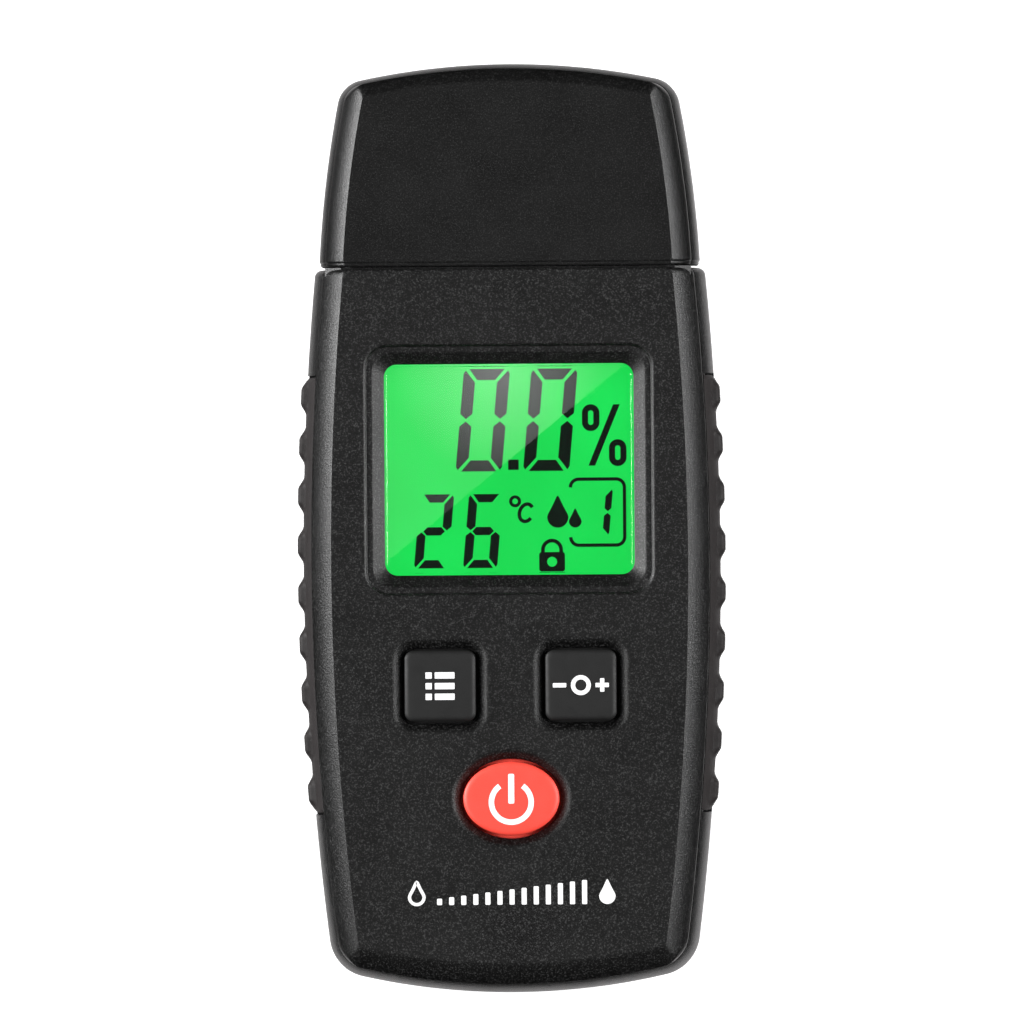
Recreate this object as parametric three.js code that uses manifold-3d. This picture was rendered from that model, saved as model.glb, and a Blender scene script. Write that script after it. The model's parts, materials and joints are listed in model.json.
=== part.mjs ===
// Hand-held pin moisture meter: a two-part case with ribbed side grips, a pull-off pin cap,
// a lit display, three keys and a battery door that slides off the lower end.
// Millimetres. The meter lies on its back: X is its width, Y its length with the cap at the
// high end, and Z its thickness. Lengths along Y are counted from the lower end, and the whole
// meter is shifted at the end so that the origin is under its middle.

import * as THREE from 'three';
import { mergeVertices } from 'three/addons/utils/BufferGeometryUtils.js';
import Module from 'manifold-3d';

const wasm = await Module();
wasm.setup();

// ---------------------------------------------------------------- driving dimensions

const meterLength = 131;
const frontZ = 27.6;        // front face above the back face
const partingZ = 18;        // plane where the front and rear shells meet
const gap = 0.3;            // left between neighbouring pieces
const bodyEndY = 102.1;     // shoulder of the body, facing the cap
const capMouthY = bodyEndY + gap;
const wall = 2;

// Plan outlines: one wide arc along each side and one across the closed end. rimInset is how far
// the lower half has turned in by the parting plane.
const bodyPlan = {
  halfWidth: 29.4, widestY: 61, sideRadius: 430,
  endY: 0, endSide: -1, endRadius: 97, cornerRadius: 6, rimInset: 1.3,
};
const capPlan = {
  halfWidth: 27, widestY: 94.3, sideRadius: 166,
  endY: meterLength, endSide: 1, endRadius: 101, cornerRadius: 4.1, rimInset: 0.9,
};
const smallestFillet = 0.5;

// Lower half of body and cap: a round back edge, and a wall that leans in towards its rim.
const backEdge = 2.5;
const rimTilt = THREE.MathUtils.degToRad(28);

// The crown that stands on it: an upright wall, arcs along the sides that end in a crease at the
// flat face, and an arc that rolls over at the end. Tilts are turned in from upright.
const bevelTilt = { low: THREE.MathUtils.degToRad(18), high: THREE.MathUtils.degToRad(48) };
const rollSlope = THREE.MathUtils.degToRad(50);
const bodyCrown = { edge: 1.6, crease: 4.3, rollRun: 5, topZ: frontZ };
const capCrown = { edge: 1, crease: 3.6, rollRun: 3.6, topZ: frontZ - 0.4 };
const capBackZ = 0.4;

// Head of the body that the cap slides over.
const head = { inset: 3.5, endY: 114.5, lowZ: 2.6, highZ: 24.8, wall: 1.5 };

// Hollows inside body and cap: chamfered at their roofs, with wide corners, so that the walls
// keep their thickness under the bevels and rolled ends.
const hollowChamfer = { size: 1.5, height: 1.5, segments: 1 };
const hollowCornerRadius = 10;
const bodyHollowInset = 4.4;
const rearHollowInset = 2.6;
const capHollow = { inset: 3.1, endY: meterLength - 1.6, lowZ: 2, highZ: 25.4 };

// Display window, recess and the stack behind it.
const windowY = 73.8;
const windowSize = { x: 35.1, y: 29.7, radius: 1.8 };
const windowSlope = { run: 1.5, lowZ: 25.8, highZ: 27 };
const recessSize = { x: 40.6, y: 35.2, radius: 3.3 };
const displayGlass = { x: 38, y: 33, rearY: 27.6, lowZ: 20, splitZ: 21.3, highZ: 22.6 };

// Keys.
const keyTopZ = 28.2;
const keyTravel = 1;
const squareKey = { x: 10, y: 9.9, radius: 1.2, spanX: 9.9, centreY: 43.4 };
const powerKey = { x: 13.5, y: 10.6, centreY: 27.5 };
const keyDish = { run: 1.1, depth: 1 };

// Board, battery tray and door.
const board = { halfX: 22.3, lowY: 17, highY: 93, lowZ: 15.3, highZ: 16.9 };
const tray = { halfX: 16.5, lowY: 9.5, highY: 61, ceilingZ: 13.2, topZ: 14.4, outerX: 18.9 };
const door = { halfX: 16.5, railX: 17.7, railLowZ: 1.1, highY: 62, thickness: 2 };
const cell = { radius: 5.25, length: 44.5, pitch: 10.9, centreZ: 7.65, lowY: 13.4 };

// Grips.
const grip = { lowY: 25.6, highY: 86.9, lowZ: 3.2, depth: 1, proud: 0.75 };
const rib = { count: 9, firstY: 28.3, pitch: 7, foot: 2.05, crest: 1.25 };

// Pins and fasteners.
const pin = { spanX: 12.5, z: 13.5, radius: 0.9, lowY: 104, shoulderY: 119.5, tipY: 124.5 };
const caseScrewSpots = [[-21.3, 11], [21.3, 11], [-20.5, 96.4], [20.5, 96.4]];
const caseScrew = { headR: 2.1, shankR: 1.1, bossR: 2.1, seatZ: 6, towerTopZ: 8, tipZ: 15 };
const boardScrewSpots = [[-20.7, 21], [20.7, 21], [-20.7, 53], [20.7, 53]];
const boardScrew = { headR: 1.6, shankR: 0.8, bossR: 1.9 };

// ---------------------------------------------------------------- materials

function finish(color, roughness, metalness = 0) {
  return new THREE.MeshStandardMaterial({ color, roughness, metalness });
}

const blackPlastic = finish(0x222222, 0.6);
const capPlastic = finish(0x1f1f1f, 0.5);
const rubber = finish(0x2b2624, 0.85);
const keyRubber = finish(0x2a2a2a, 0.7);
const redRubber = finish(0xe8382c, 0.55);
const clearPlastic = finish(0xdfe8e2, 0.05);
const glass = finish(0x28d85c, 0.1);
const foam = finish(0x151515, 0.95);
const whitePlastic = finish(0xeeeeea, 0.5);
const carbon = finish(0x101010, 0.8);
const greenBoard = finish(0x1d5b36, 0.45);
const steel = finish(0xc9ccd0, 0.25, 1);
const brass = finish(0xb8924a, 0.35, 1);
const cellSleeve = finish(0x3c5f8c, 0.35);
const redWire = finish(0xb02020, 0.5);
const blackWire = finish(0x181818, 0.5);

// ---------------------------------------------------------------- solid helpers

// A closed geometry as a solid that can be cut and joined.
function solid(geometry) {
  const bare = geometry.clone();
  bare.deleteAttribute('normal');
  bare.deleteAttribute('uv');
  const merged = mergeVertices(bare, 1e-4);
  const triVerts = [];
  for (let i = 0; i < merged.index.count; i += 3) {
    const [a, b, c] = [0, 1, 2].map((k) => merged.index.getX(i + k));
    if (a !== b && b !== c && c !== a) triVerts.push(a, b, c);
  }
  return new wasm.Manifold(new wasm.Mesh({
    numProp: 3,
    vertProperties: new Float32Array(merged.attributes.position.array),
    triVerts: new Uint32Array(triVerts),
  }));
}

function geometryOf(body) {
  const mesh = body.getMesh();
  const geometry = new THREE.BufferGeometry();
  geometry.setAttribute('position', new THREE.BufferAttribute(mesh.vertProperties, 3));
  geometry.setIndex(new THREE.BufferAttribute(mesh.triVerts, 1));
  geometry.computeVertexNormals();
  return geometry;
}

function joined(...solids) {
  return solids.reduce((sum, next) => sum.add(next));
}

function cutBy(body, ...tools) {
  return tools.reduce((rest, tool) => rest.subtract(tool), body);
}

function block(x0, x1, y0, y1, z0, z1) {
  const box = new THREE.BoxGeometry(x1 - x0, y1 - y0, z1 - z0);
  return solid(box.translate((x0 + x1) / 2, (y0 + y1) / 2, (z0 + z1) / 2));
}

// A shape in plan, extruded straight up.
function prism(shape, z0, z1, curveSegments = 4) {
  const extruded = new THREE.ExtrudeGeometry(shape, {
    depth: z1 - z0, bevelEnabled: false, curveSegments,
  });
  return solid(extruded.translate(0, 0, z0));
}

// The same with both ends drawn in to the given shape: the middle stands bevel.size outside it.
function bevelled(shape, z0, z1, bevel, curveSegments = 4) {
  const extruded = new THREE.ExtrudeGeometry(shape, {
    depth: z1 - z0 - 2 * bevel.height,
    bevelSize: bevel.size,
    bevelThickness: bevel.height,
    bevelSegments: bevel.segments,
    curveSegments,
  });
  return solid(extruded.translate(0, 0, z0 + bevel.height));
}

function post(x, y, radius, z0, z1, sides = 16) {
  const cylinder = new THREE.CylinderGeometry(radius, radius, z1 - z0, sides);
  return solid(cylinder.rotateX(Math.PI / 2).translate(x, y, (z0 + z1) / 2));
}

// A closed profile of [radius, height] pairs turned about the Z axis.
function turned(profile, sides = 16) {
  const points = profile.map(([radius, height]) => new THREE.Vector2(radius, height));
  return solid(new THREE.LatheGeometry(points, sides).rotateX(Math.PI / 2));
}

function wire(points, radius, sides, steps) {
  const section = new THREE.Shape().absarc(0, 0, radius, 0, 2 * Math.PI);
  const path = new THREE.CatmullRomCurve3(points.map((p) => new THREE.Vector3(...p)));
  return solid(new THREE.ExtrudeGeometry(section, {
    steps, curveSegments: sides / 2, bevelEnabled: false, extrudePath: path,
  }));
}

// ---------------------------------------------------------------- outlines

function roundedRectangle(sizeX, sizeY, radius, centreX = 0, centreY = 0) {
  const [x, y] = [sizeX / 2 - radius, sizeY / 2 - radius];
  const shape = new THREE.Shape();
  shape.absarc(centreX + x, centreY + y, radius, 0, Math.PI / 2);
  shape.absarc(centreX - x, centreY + y, radius, Math.PI / 2, Math.PI);
  shape.absarc(centreX - x, centreY - y, radius, Math.PI, 1.5 * Math.PI);
  shape.absarc(centreX + x, centreY - y, radius, 1.5 * Math.PI, 2 * Math.PI);
  shape.closePath();
  return shape;
}

function oval(sizeX, sizeY, centreX, centreY) {
  return new THREE.Shape().absellipse(centreX, centreY, sizeX / 2, sizeY / 2, 0, 2 * Math.PI);
}

function sideCircle(plan, inset) {
  return { x: plan.halfWidth - plan.sideRadius, y: plan.widestY, radius: plan.sideRadius - inset };
}

function endCircle(plan, inset) {
  return { x: 0, y: plan.endY - plan.endSide * plan.endRadius, radius: plan.endRadius - inset };
}

// Centre of the corner fillet, at the given distances from the centres of side and end arcs.
function cornerCentre(side, sideReach, end, endReach, endSide) {
  const dx = end.x - side.x;
  const dy = end.y - side.y;
  const apart = Math.hypot(dx, dy);
  const along = (apart ** 2 + sideReach ** 2 - endReach ** 2) / (2 * apart);
  const across = endSide * Math.sqrt(sideReach ** 2 - along ** 2);
  return {
    x: side.x + (along * dx - across * dy) / apart,
    y: side.y + (along * dy + across * dx) / apart,
  };
}

// The outline of body or cap, drawn in by inset and left straight across at openY.
function planShape(plan, inset, openY) {
  const side = sideCircle(plan, inset);
  const end = endCircle(plan, inset);
  const radius = Math.max(plan.cornerRadius - inset, smallestFillet);
  const corner = cornerCentre(side, side.radius - radius, end, end.radius - radius, plan.endSide);
  const openAngle = Math.asin((openY - side.y) / side.radius);
  const sideAngle = Math.atan2(corner.y - side.y, corner.x - side.x);
  const endAngle = Math.atan2(corner.y - end.y, corner.x - end.x);
  const clockwise = plan.endSide < 0;
  const shape = new THREE.Shape();
  shape.absarc(side.x, side.y, side.radius, openAngle, sideAngle, clockwise);
  shape.absarc(corner.x, corner.y, radius, sideAngle, endAngle, clockwise);
  shape.absarc(end.x, end.y, end.radius, endAngle, Math.PI - endAngle, clockwise);
  shape.absarc(-corner.x, corner.y, radius, Math.PI - endAngle, Math.PI - sideAngle, clockwise);
  shape.absarc(-side.x, side.y, side.radius, Math.PI - sideAngle, Math.PI - openAngle, clockwise);
  shape.closePath();
  return shape;
}

// Only the two side arcs, from lowY to highY.
function sidesShape(plan, inset, lowY, highY) {
  const side = sideCircle(plan, inset);
  const low = Math.asin((lowY - side.y) / side.radius);
  const high = Math.asin((highY - side.y) / side.radius);
  const shape = new THREE.Shape();
  shape.absarc(side.x, side.y, side.radius, low, high, false);
  shape.absarc(-side.x, side.y, side.radius, Math.PI - high, Math.PI - low, false);
  shape.closePath();
  return shape;
}

// Only the end arc, wider than the piece, closed straight across at openY.
function endShape(plan, inset, openY) {
  const end = endCircle(plan, inset);
  const spread = Math.asin(1.4 * plan.halfWidth / end.radius);
  const middle = plan.endSide * Math.PI / 2;
  const shape = new THREE.Shape();
  shape.absarc(end.x, end.y, end.radius, middle - spread, middle + spread, false);
  shape.lineTo(-plan.endSide * 1.4 * plan.halfWidth, openY);
  shape.lineTo(plan.endSide * 1.4 * plan.halfWidth, openY);
  shape.closePath();
  return shape;
}

// ---------------------------------------------------------------- case halves

// Lower half: a wall with a rounded back edge that leans in, along an elliptical arc, to its rim.
function tub(plan, inset, lowZ, openY) {
  const shape = planShape(plan, inset + backEdge, openY);
  const back = { size: backEdge, height: backEdge, segments: 3 };
  const turn = Math.acos(1 - plan.rimInset / backEdge);
  const rim = { size: backEdge, height: backEdge * Math.tan(turn) / Math.tan(rimTilt), segments: 6 };
  const rimTopZ = partingZ + rim.height * (1 - Math.sin(turn));
  return bevelled(shape, lowZ, partingZ + 2 * backEdge, back)
    .intersect(bevelled(shape, lowZ - rim.height - 1, rimTopZ, rim));
}

// Upper half: convex side bevels that meet the flat face in a crease, and a rolled end.
function crown(plan, form, openY) {
  const bevelRadius = (form.crease - form.edge) / (Math.cos(bevelTilt.low) - Math.cos(bevelTilt.high));
  const uprightInset = form.edge - bevelRadius * (1 - Math.cos(bevelTilt.low));
  const beyondEnd = plan.endY + plan.endSide * 20;
  const [lowY, highY] = [Math.min(openY, beyondEnd), Math.max(openY, beyondEnd)];
  const sides = bevelled(
    sidesShape(plan, uprightInset + bevelRadius, lowY, highY),
    partingZ - bevelRadius - 1, form.topZ + bevelRadius * (1 - Math.sin(bevelTilt.high)),
    { size: bevelRadius, height: bevelRadius, segments: 12 },
  );
  const rollRadius = form.rollRun / Math.sin(rollSlope);
  const rolled = bevelled(
    endShape(plan, form.edge + form.rollRun, openY), partingZ - rollRadius - 1, form.topZ,
    { size: rollRadius, height: rollRadius, segments: 7 },
  );
  const upright = prism(planShape(plan, form.edge, openY), partingZ - 0.5, frontZ + 1);
  return sides.intersect(rolled).intersect(upright);
}

function caseHollow(plan, inset, openY, lowZ, highZ) {
  const widePlan = { ...plan, cornerRadius: hollowCornerRadius };
  const shape = planShape(widePlan, inset + hollowChamfer.size, openY + plan.endSide * hollowChamfer.size);
  return bevelled(shape, lowZ, highZ, hollowChamfer, 3);
}

// The head under the cap, solid or hollow, between two heights.
function headSolid(extraInset, endY, lowZ, highZ) {
  const inset = head.inset + extraInset + hollowChamfer.size;
  const shape = sidesShape(capPlan, inset, 98, endY - hollowChamfer.size);
  return bevelled(shape, lowZ, highZ, hollowChamfer);
}

function headHollow() {
  return headSolid(head.wall, head.endY - head.wall, head.lowZ + head.wall, head.highZ - head.wall);
}

const bodyOpenY = bodyEndY + 8;
const bodyRange = (z0, z1) => block(-40, 40, -10, bodyEndY, z0, z1);
const headStartY = bodyEndY - 3;
const headRange = (z0, z1) => block(-40, 40, headStartY, head.endY + 5, z0, z1);

function windowCut() {
  const opening = roundedRectangle(windowSize.x, windowSize.y, windowSize.radius, 0, windowY);
  const recess = roundedRectangle(recessSize.x, recessSize.y, recessSize.radius, 0, windowY);
  const slope = { size: windowSlope.run, height: windowSlope.highZ - windowSlope.lowZ, segments: 1 };
  return joined(
    prism(opening, 20, windowSlope.lowZ + 1, 3),
    bevelled(opening, windowSlope.lowZ, frontZ + 4, slope, 3),
    prism(recess, windowSlope.highZ, frontZ + 4, 3),
  );
}

function keyCut(makeShape, curveSegments) {
  const opening = makeShape(2 * gap);
  const dish = { size: keyDish.run, height: keyDish.depth, segments: 2 };
  return joined(
    prism(opening, 20, frontZ, curveSegments),
    bevelled(opening, frontZ - keyDish.depth, frontZ + 4, dish, curveSegments),
  );
}

function squareKeyShape(side) {
  const { x, y, radius, spanX, centreY } = squareKey;
  return (extra) => roundedRectangle(x + extra, y + extra, radius + extra / 2, side * spanX, centreY);
}

function powerKeyShape(extra) {
  return oval(powerKey.x + extra, powerKey.y + extra, 0, powerKey.centreY);
}

function frontShell() {
  const lipPlan = planShape(bodyPlan, rearHollowInset + gap, headStartY - gap);
  const lip = prism(lipPlan, partingZ - 1.4, partingZ + 1, 3);
  const bodyOuter = crown(bodyPlan, bodyCrown, bodyOpenY);
  const outer = joined(
    bodyOuter.intersect(bodyRange(partingZ + gap / 2, 40)),
    headSolid(0, head.endY, head.lowZ, head.highZ).intersect(headRange(partingZ + gap / 2, 40)),
    lip,
  );
  const hollow = caseHollow(bodyPlan, bodyHollowInset, bodyEndY - wall, 0, frontZ - wall);
  const windowPad = prism(
    roundedRectangle(recessSize.x, recessSize.y, recessSize.radius, 0, windowY),
    frontZ - wall - 0.6, frontZ - 1, 3,
  );
  const bosses = [
    ...caseScrewSpots.map(([x, y]) => post(x, y, caseScrew.bossR, caseScrew.towerTopZ + gap, frontZ - 1)),
    ...boardScrewSpots.map(([x, y]) => post(x, y, boardScrew.bossR, board.highZ + gap, frontZ - 1, 12)),
  ];
  const belowRoof = bodyOuter.add(bodyRange(0, partingZ + 1));
  const holes = [
    ...caseScrewSpots.map(([x, y]) => post(x, y, caseScrew.shankR + gap, 0, caseScrew.tipZ + 2)),
    ...boardScrewSpots.map(([x, y]) => post(x, y, boardScrew.shankR + gap, 0, 23, 12)),
  ];
  return cutBy(
    joined(cutBy(outer, hollow, headHollow()), windowPad, joined(...bosses).intersect(belowRoof)),
    windowCut(), keyCut(squareKeyShape(-1), 2), keyCut(squareKeyShape(1), 2),
    keyCut(powerKeyShape, 12), ...holes,
  );
}

// Side recess that a grip lies in, with clearance all round.
function gripPocket() {
  const inner = prism(planShape(bodyPlan, grip.depth + gap, bodyOpenY), -1, partingZ + 2, 6);
  const band = block(-40, 40, grip.lowY - gap, grip.highY + gap, grip.lowZ - gap, partingZ + 1);
  return band.subtract(inner);
}

function rearShell() {
  const topZ = partingZ - gap / 2;
  const outer = joined(
    tub(bodyPlan, 0, 0, bodyOpenY).intersect(bodyRange(-1, topZ)),
    headSolid(0, head.endY, head.lowZ, head.highZ).intersect(headRange(0, topZ)),
  );
  const hollow = prism(planShape(bodyPlan, rearHollowInset, bodyEndY - wall), wall, 30, 3);
  const trayBlock = block(-tray.outerX, tray.outerX, tray.lowY - 1.5, tray.highY + 1.5, 1, tray.topZ);
  const shelf = block(-tray.outerX, tray.outerX, 2, tray.lowY, 1, 3.8);
  const towers = caseScrewSpots.map(([x, y]) => post(x, y, 3.6, 1, caseScrew.towerTopZ));
  const carrierRests = [-8, 8].map((x) => block(x - 1, x + 1, 103, 111, head.lowZ + 1, 8.2));
  const filled = joined(
    cutBy(outer, hollow, headHollow()),
    trayBlock, shelf, ...towers, ...carrierRests,
  );
  const trayHollow = block(-tray.halfX, tray.halfX, tray.lowY, tray.highY, -1, tray.ceilingZ);
  const doorway = block(
    -door.halfX - gap, door.halfX + gap, -5, door.highY + gap, -1, door.thickness + gap,
  );
  const grooves = block(
    -door.railX - gap, door.railX + gap, -5, door.highY + gap,
    door.railLowZ - gap, door.thickness + gap,
  );
  const screwHoles = caseScrewSpots.flatMap(([x, y]) => [
    post(x, y, caseScrew.headR + gap, -1, caseScrew.seatZ),
    post(x, y, caseScrew.shankR + gap, 0, 10),
  ]);
  const pinHoles = [-1, 1].map((side) => pinBore(side, 2.2 + gap, 108, 118));
  const labelRecess = prism(roundedRectangle(36, 24, 2, 0, 82), -1, 0.4, 3);
  return cutBy(
    filled, trayHollow, doorway, grooves, gripPocket(), labelRecess, ...screwHoles, ...pinHoles,
  );
}

function pinBore(side, radius, y0, y1) {
  const cylinder = new THREE.CylinderGeometry(radius, radius, y1 - y0, 16);
  return solid(cylinder.translate(side * pin.spanX, (y0 + y1) / 2, pin.z));
}

// ---------------------------------------------------------------- cap

function pinCap() {
  const openY = capMouthY - 8;
  const outer = joined(
    tub(capPlan, 0, capBackZ, openY),
    crown(capPlan, capCrown, openY),
  ).intersect(block(-40, 40, capMouthY, meterLength + 5, -1, 40));
  const shortPlan = { ...capPlan, endY: capHollow.endY };
  return outer.subtract(
    caseHollow(shortPlan, capHollow.inset, openY, capHollow.lowZ, capHollow.highZ),
  );
}

// ---------------------------------------------------------------- grips

function ribSolid(centreY) {
  const shape = new THREE.Shape();
  shape.moveTo(20, centreY - rib.foot);
  shape.lineTo(bodyPlan.halfWidth - 2, centreY - rib.foot);
  shape.lineTo(bodyPlan.halfWidth + grip.proud, centreY - rib.crest);
  shape.lineTo(bodyPlan.halfWidth + grip.proud + 1, centreY - rib.crest);
  shape.lineTo(bodyPlan.halfWidth + grip.proud + 1, centreY + rib.crest);
  shape.lineTo(bodyPlan.halfWidth + grip.proud, centreY + rib.crest);
  shape.lineTo(bodyPlan.halfWidth - 2, centreY + rib.foot);
  shape.lineTo(20, centreY + rib.foot);
  return prism(shape, grip.lowZ, partingZ);
}

function rightGripSolid() {
  const reach = block(0, 40, grip.lowY, grip.highY, grip.lowZ, partingZ - gap / 2);
  const band = tub(bodyPlan, 0, 0, bodyOpenY).intersect(reach);
  const swollen = tub(bodyPlan, -grip.proud, 0, bodyOpenY).intersect(reach);
  const ribs = Array.from({ length: rib.count }, (_, i) => ribSolid(rib.firstY + i * rib.pitch));
  const inner = prism(planShape(bodyPlan, grip.depth, bodyOpenY), -1, partingZ + 2, 6);
  return cutBy(joined(band, joined(...ribs).intersect(swollen)), inner);
}

// ---------------------------------------------------------------- display stack

function plate(sizeX, sizeY, radius, z0, z1, centreY = windowY) {
  return prism(roundedRectangle(sizeX, sizeY, radius, 0, centreY), z0, z1, 3);
}

function displayWindow() {
  const top = windowSlope.lowZ - 0.2;
  return joined(
    plate(38, 32.6, 2, 23.7, 24.7),
    plate(windowSize.x - 2 * gap, windowSize.y - 2 * gap, windowSize.radius - gap, 24, top),
  );
}

function windowGasket() {
  return plate(37.6, 32.2, 2, 22.9, 23.4).subtract(plate(35.4, 30, 2, 22, 24));
}

function displayCell() {
  const { x, y, rearY, lowZ, splitZ, highZ } = displayGlass;
  return joined(plate(x, y, 0.3, splitZ, highZ), plate(x, rearY, 0.3, lowZ, splitZ + 0.2));
}

const holderZ = { low: board.highZ + gap, high: displayGlass.lowZ - gap };
const stripY = 15.3;

function displayHolder() {
  const outer = plate(40.8, 34.6, 1, holderZ.low, holderZ.high);
  const lightWindow = plate(38, 26.4, 1, 10, 30);
  const stripWindows = [-1, 1].map((side) => plate(35.6, 2.6, 0.3, 10, 30, windowY + side * stripY));
  return cutBy(outer, lightWindow, ...stripWindows);
}

function lightGuide() {
  return plate(34, 25.6, 0.5, holderZ.low + 0.2, holderZ.high - 0.2);
}

function connectorStrip(side) {
  return plate(35, 2, 0.2, holderZ.low, displayGlass.splitZ - gap, windowY + side * stripY);
}

function lamp(side) {
  const x = side * 18.1;
  return block(x - 0.6, x + 0.6, windowY - 1.6, windowY + 1.6, holderZ.low, holderZ.low + 1.3);
}

// ---------------------------------------------------------------- keys

const flangeTopZ = frontZ - wall - 0.4;
const flangeLowZ = flangeTopZ - 0.9;
const stemLowZ = 19.4;

const keySpots = {
  mode: [-squareKey.spanX, squareKey.centreY],
  set: [squareKey.spanX, squareKey.centreY],
  power: [0, powerKey.centreY],
};

// Cap through the front shell, a flange that keeps it in, and a round stem down to the pill.
function keySolid(makeShape, [x, y], curveSegments) {
  const edge = { size: 0.5, height: 0.5, segments: 2 };
  const cap = bevelled(makeShape(-2 * edge.size), flangeLowZ - 1, keyTopZ, edge, curveSegments)
    .intersect(block(-40, 40, 0, meterLength, flangeLowZ, 40));
  return joined(
    cap,
    prism(makeShape(1.4), flangeLowZ, flangeTopZ, curveSegments),
    post(x, y, 3.4, stemLowZ, flangeLowZ + 1, 12),
  );
}

function contactPill([x, y]) {
  return post(x, y, 2.2, stemLowZ - gap - 0.7, stemLowZ - gap);
}

function keypadMat() {
  const sheetTopZ = board.highZ + gap + 0.8;
  const sheet = prism(roundedRectangle(34, 32, 2, 0, 35.2), board.highZ + gap, sheetTopZ, 3);
  const collars = Object.values(keySpots).map(([x, y]) => post(x, y, 5, sheetTopZ - 0.4, 20.4));
  const bores = Object.values(keySpots).map(([x, y]) => post(x, y, 4, 10, 25));
  return cutBy(joined(sheet, ...collars), ...bores);
}

// ---------------------------------------------------------------- board and its parts

function mainBoard() {
  const middleY = (board.lowY + board.highY) / 2;
  const outline = roundedRectangle(2 * board.halfX, board.highY - board.lowY, 1.5, 0, middleY);
  const holes = boardScrewSpots.map(([x, y]) => post(x, y, boardScrew.shankR + gap, 0, 30, 12));
  return cutBy(prism(outline, board.lowZ, board.highZ, 3), ...holes);
}

const underBoardZ = board.lowZ - gap;

function crystalCan() {
  const can = new THREE.CapsuleGeometry(1.4, 5, 3, 10).translate(12, 84, underBoardZ - 1.4);
  return solid(can);
}

function pinSocket(side) {
  const profile = [
    [0, 98.6], [2.1, 98.6], [2.1, 114.8], [3, 114.8], [3, 116.3], [1.2, 116.3], [1.2, 103.7], [0, 103.7],
  ];
  return alongY(profile, side * pin.spanX, pin.z, 16);
}

function measuringPin(side) {
  const profile = [[0, pin.lowY], [pin.radius, pin.lowY], [pin.radius, pin.shoulderY], [0, pin.tipY]];
  return alongY(profile, side * pin.spanX, pin.z, 16);
}

// A profile of [radius, y] pairs turned about a line along Y.
function alongY(profile, x, z, sides) {
  const points = profile.map(([radius, y]) => new THREE.Vector2(radius, y));
  return solid(new THREE.LatheGeometry(points, sides).translate(x, 0, z));
}

function pinCarrier() {
  const bores = [-1, 1].map((side) => pinBore(side, 2.1 + gap, 100, 115));
  return cutBy(block(-17, 17, 102.5, 111.5, 8.5, 17), ...bores);
}

function probeLead(side) {
  return wire([
    [side * 12.5, 98.2, 13.5], [side * 12.5, 95.6, 13.1], [side * 12.3, 92.8, 13.2],
    [side * 12, 91.2, 14], [side * 12, 91, 15],
  ], 0.6, 8, 10);
}

// ---------------------------------------------------------------- battery tray

function batteryDoor() {
  const outside = tub(bodyPlan, 0, 0, bodyOpenY);
  const panel = block(-door.halfX, door.halfX, -5, door.highY, -1, door.thickness);
  const rails = block(-door.railX, door.railX, -5, door.highY, door.railLowZ, door.thickness);
  const ridges = Array.from({ length: 5 }, (_, i) => {
    const y = 50 + 2 * i;
    return block(-7 + 0.6 * i, 7 - 0.6 * i, y - 0.5, y + 0.5, -1, 0.6);
  });
  return cutBy(joined(panel, rails).intersect(outside), ...ridges);
}

const cellX = [-cell.pitch, 0, cell.pitch];
const cellHighY = cell.lowY + cell.length;

// Outer cells point up the meter and the middle one points down.
function facing(index) {
  return index === 1 ? -1 : 1;
}

function batteryCell(index) {
  const nubLength = 1;
  const profile = [
    [0, 0], [cell.radius - 0.4, 0], [cell.radius, 0.4], [cell.radius, cell.length - nubLength - 0.5],
    [cell.radius - 0.5, cell.length - nubLength], [1.9, cell.length - nubLength],
    [1.9, cell.length], [0, cell.length],
  ];
  const up = facing(index) > 0;
  const placed = profile.map(([radius, along]) => [radius, up ? cell.lowY + along : cellHighY - along]);
  return alongY(up ? placed : placed.reverse(), cellX[index], cell.centreZ, 16);
}

// Conical coil between the tray's end and the flat end of a cell.
function batterySpring(index) {
  const up = facing(index) > 0;
  const turns = 3;
  const length = up ? cell.lowY - tray.lowY - 2 : tray.highY - cellHighY - 1.2;
  const startY = up ? tray.lowY + 0.8 : tray.highY - 0.7;
  const points = Array.from({ length: 8 * turns + 1 }, (_, i) => {
    const turn = i / 8;
    const radius = 4.2 - 0.6 * turn;
    const angle = 2 * Math.PI * turn;
    const y = startY + facing(index) * length * (turn / turns);
    return [cellX[index] + radius * Math.cos(angle), y, cell.centreZ + radius * Math.sin(angle)];
  });
  return wire(points, 0.3, 6, 10 * turns);
}

function contactPlate(index) {
  const up = facing(index) > 0;
  const y = up ? tray.highY - gap - 0.5 : tray.lowY + gap;
  const x = cellX[index];
  return block(x - 4.5, x + 4.5, y, y + 0.5, cell.centreZ - 4.5, cell.centreZ + 4.5);
}

function batteryLead(side, socketX) {
  return wire([
    [side * cell.pitch, tray.highY + 2.4, 9], [side * 9, 66, 9.5], [side * 5 + 2, 67.4, 11],
    [socketX, 68.8, 12], [socketX, 70.2, 12.2],
  ], 0.65, 8, 12);
}

// ---------------------------------------------------------------- screws

// Shank along +Z from the seat, head below it with a cross recess.
function screw(headR, headHeight, shankR, length, sides) {
  const body = turned([
    [0, -headHeight], [headR * 0.8, -headHeight], [headR, -headHeight * 0.6], [headR, 0],
    [shankR, 0], [shankR, length - shankR], [0, length],
  ], sides);
  const slot = 0.25 * headR;
  const reach = 0.65 * headR;
  return cutBy(
    body,
    block(-slot, slot, -reach, reach, -headHeight - 1, -headHeight * 0.4),
    block(-reach, reach, -slot, slot, -headHeight - 1, -headHeight * 0.4),
  );
}

function caseScrewSolid() {
  return screw(caseScrew.headR, 1.6, caseScrew.shankR, caseScrew.tipZ - caseScrew.seatZ, 12);
}

function boardScrewSolid() {
  return screw(boardScrew.headR, 1.1, boardScrew.shankR, 6, 12);
}

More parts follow.
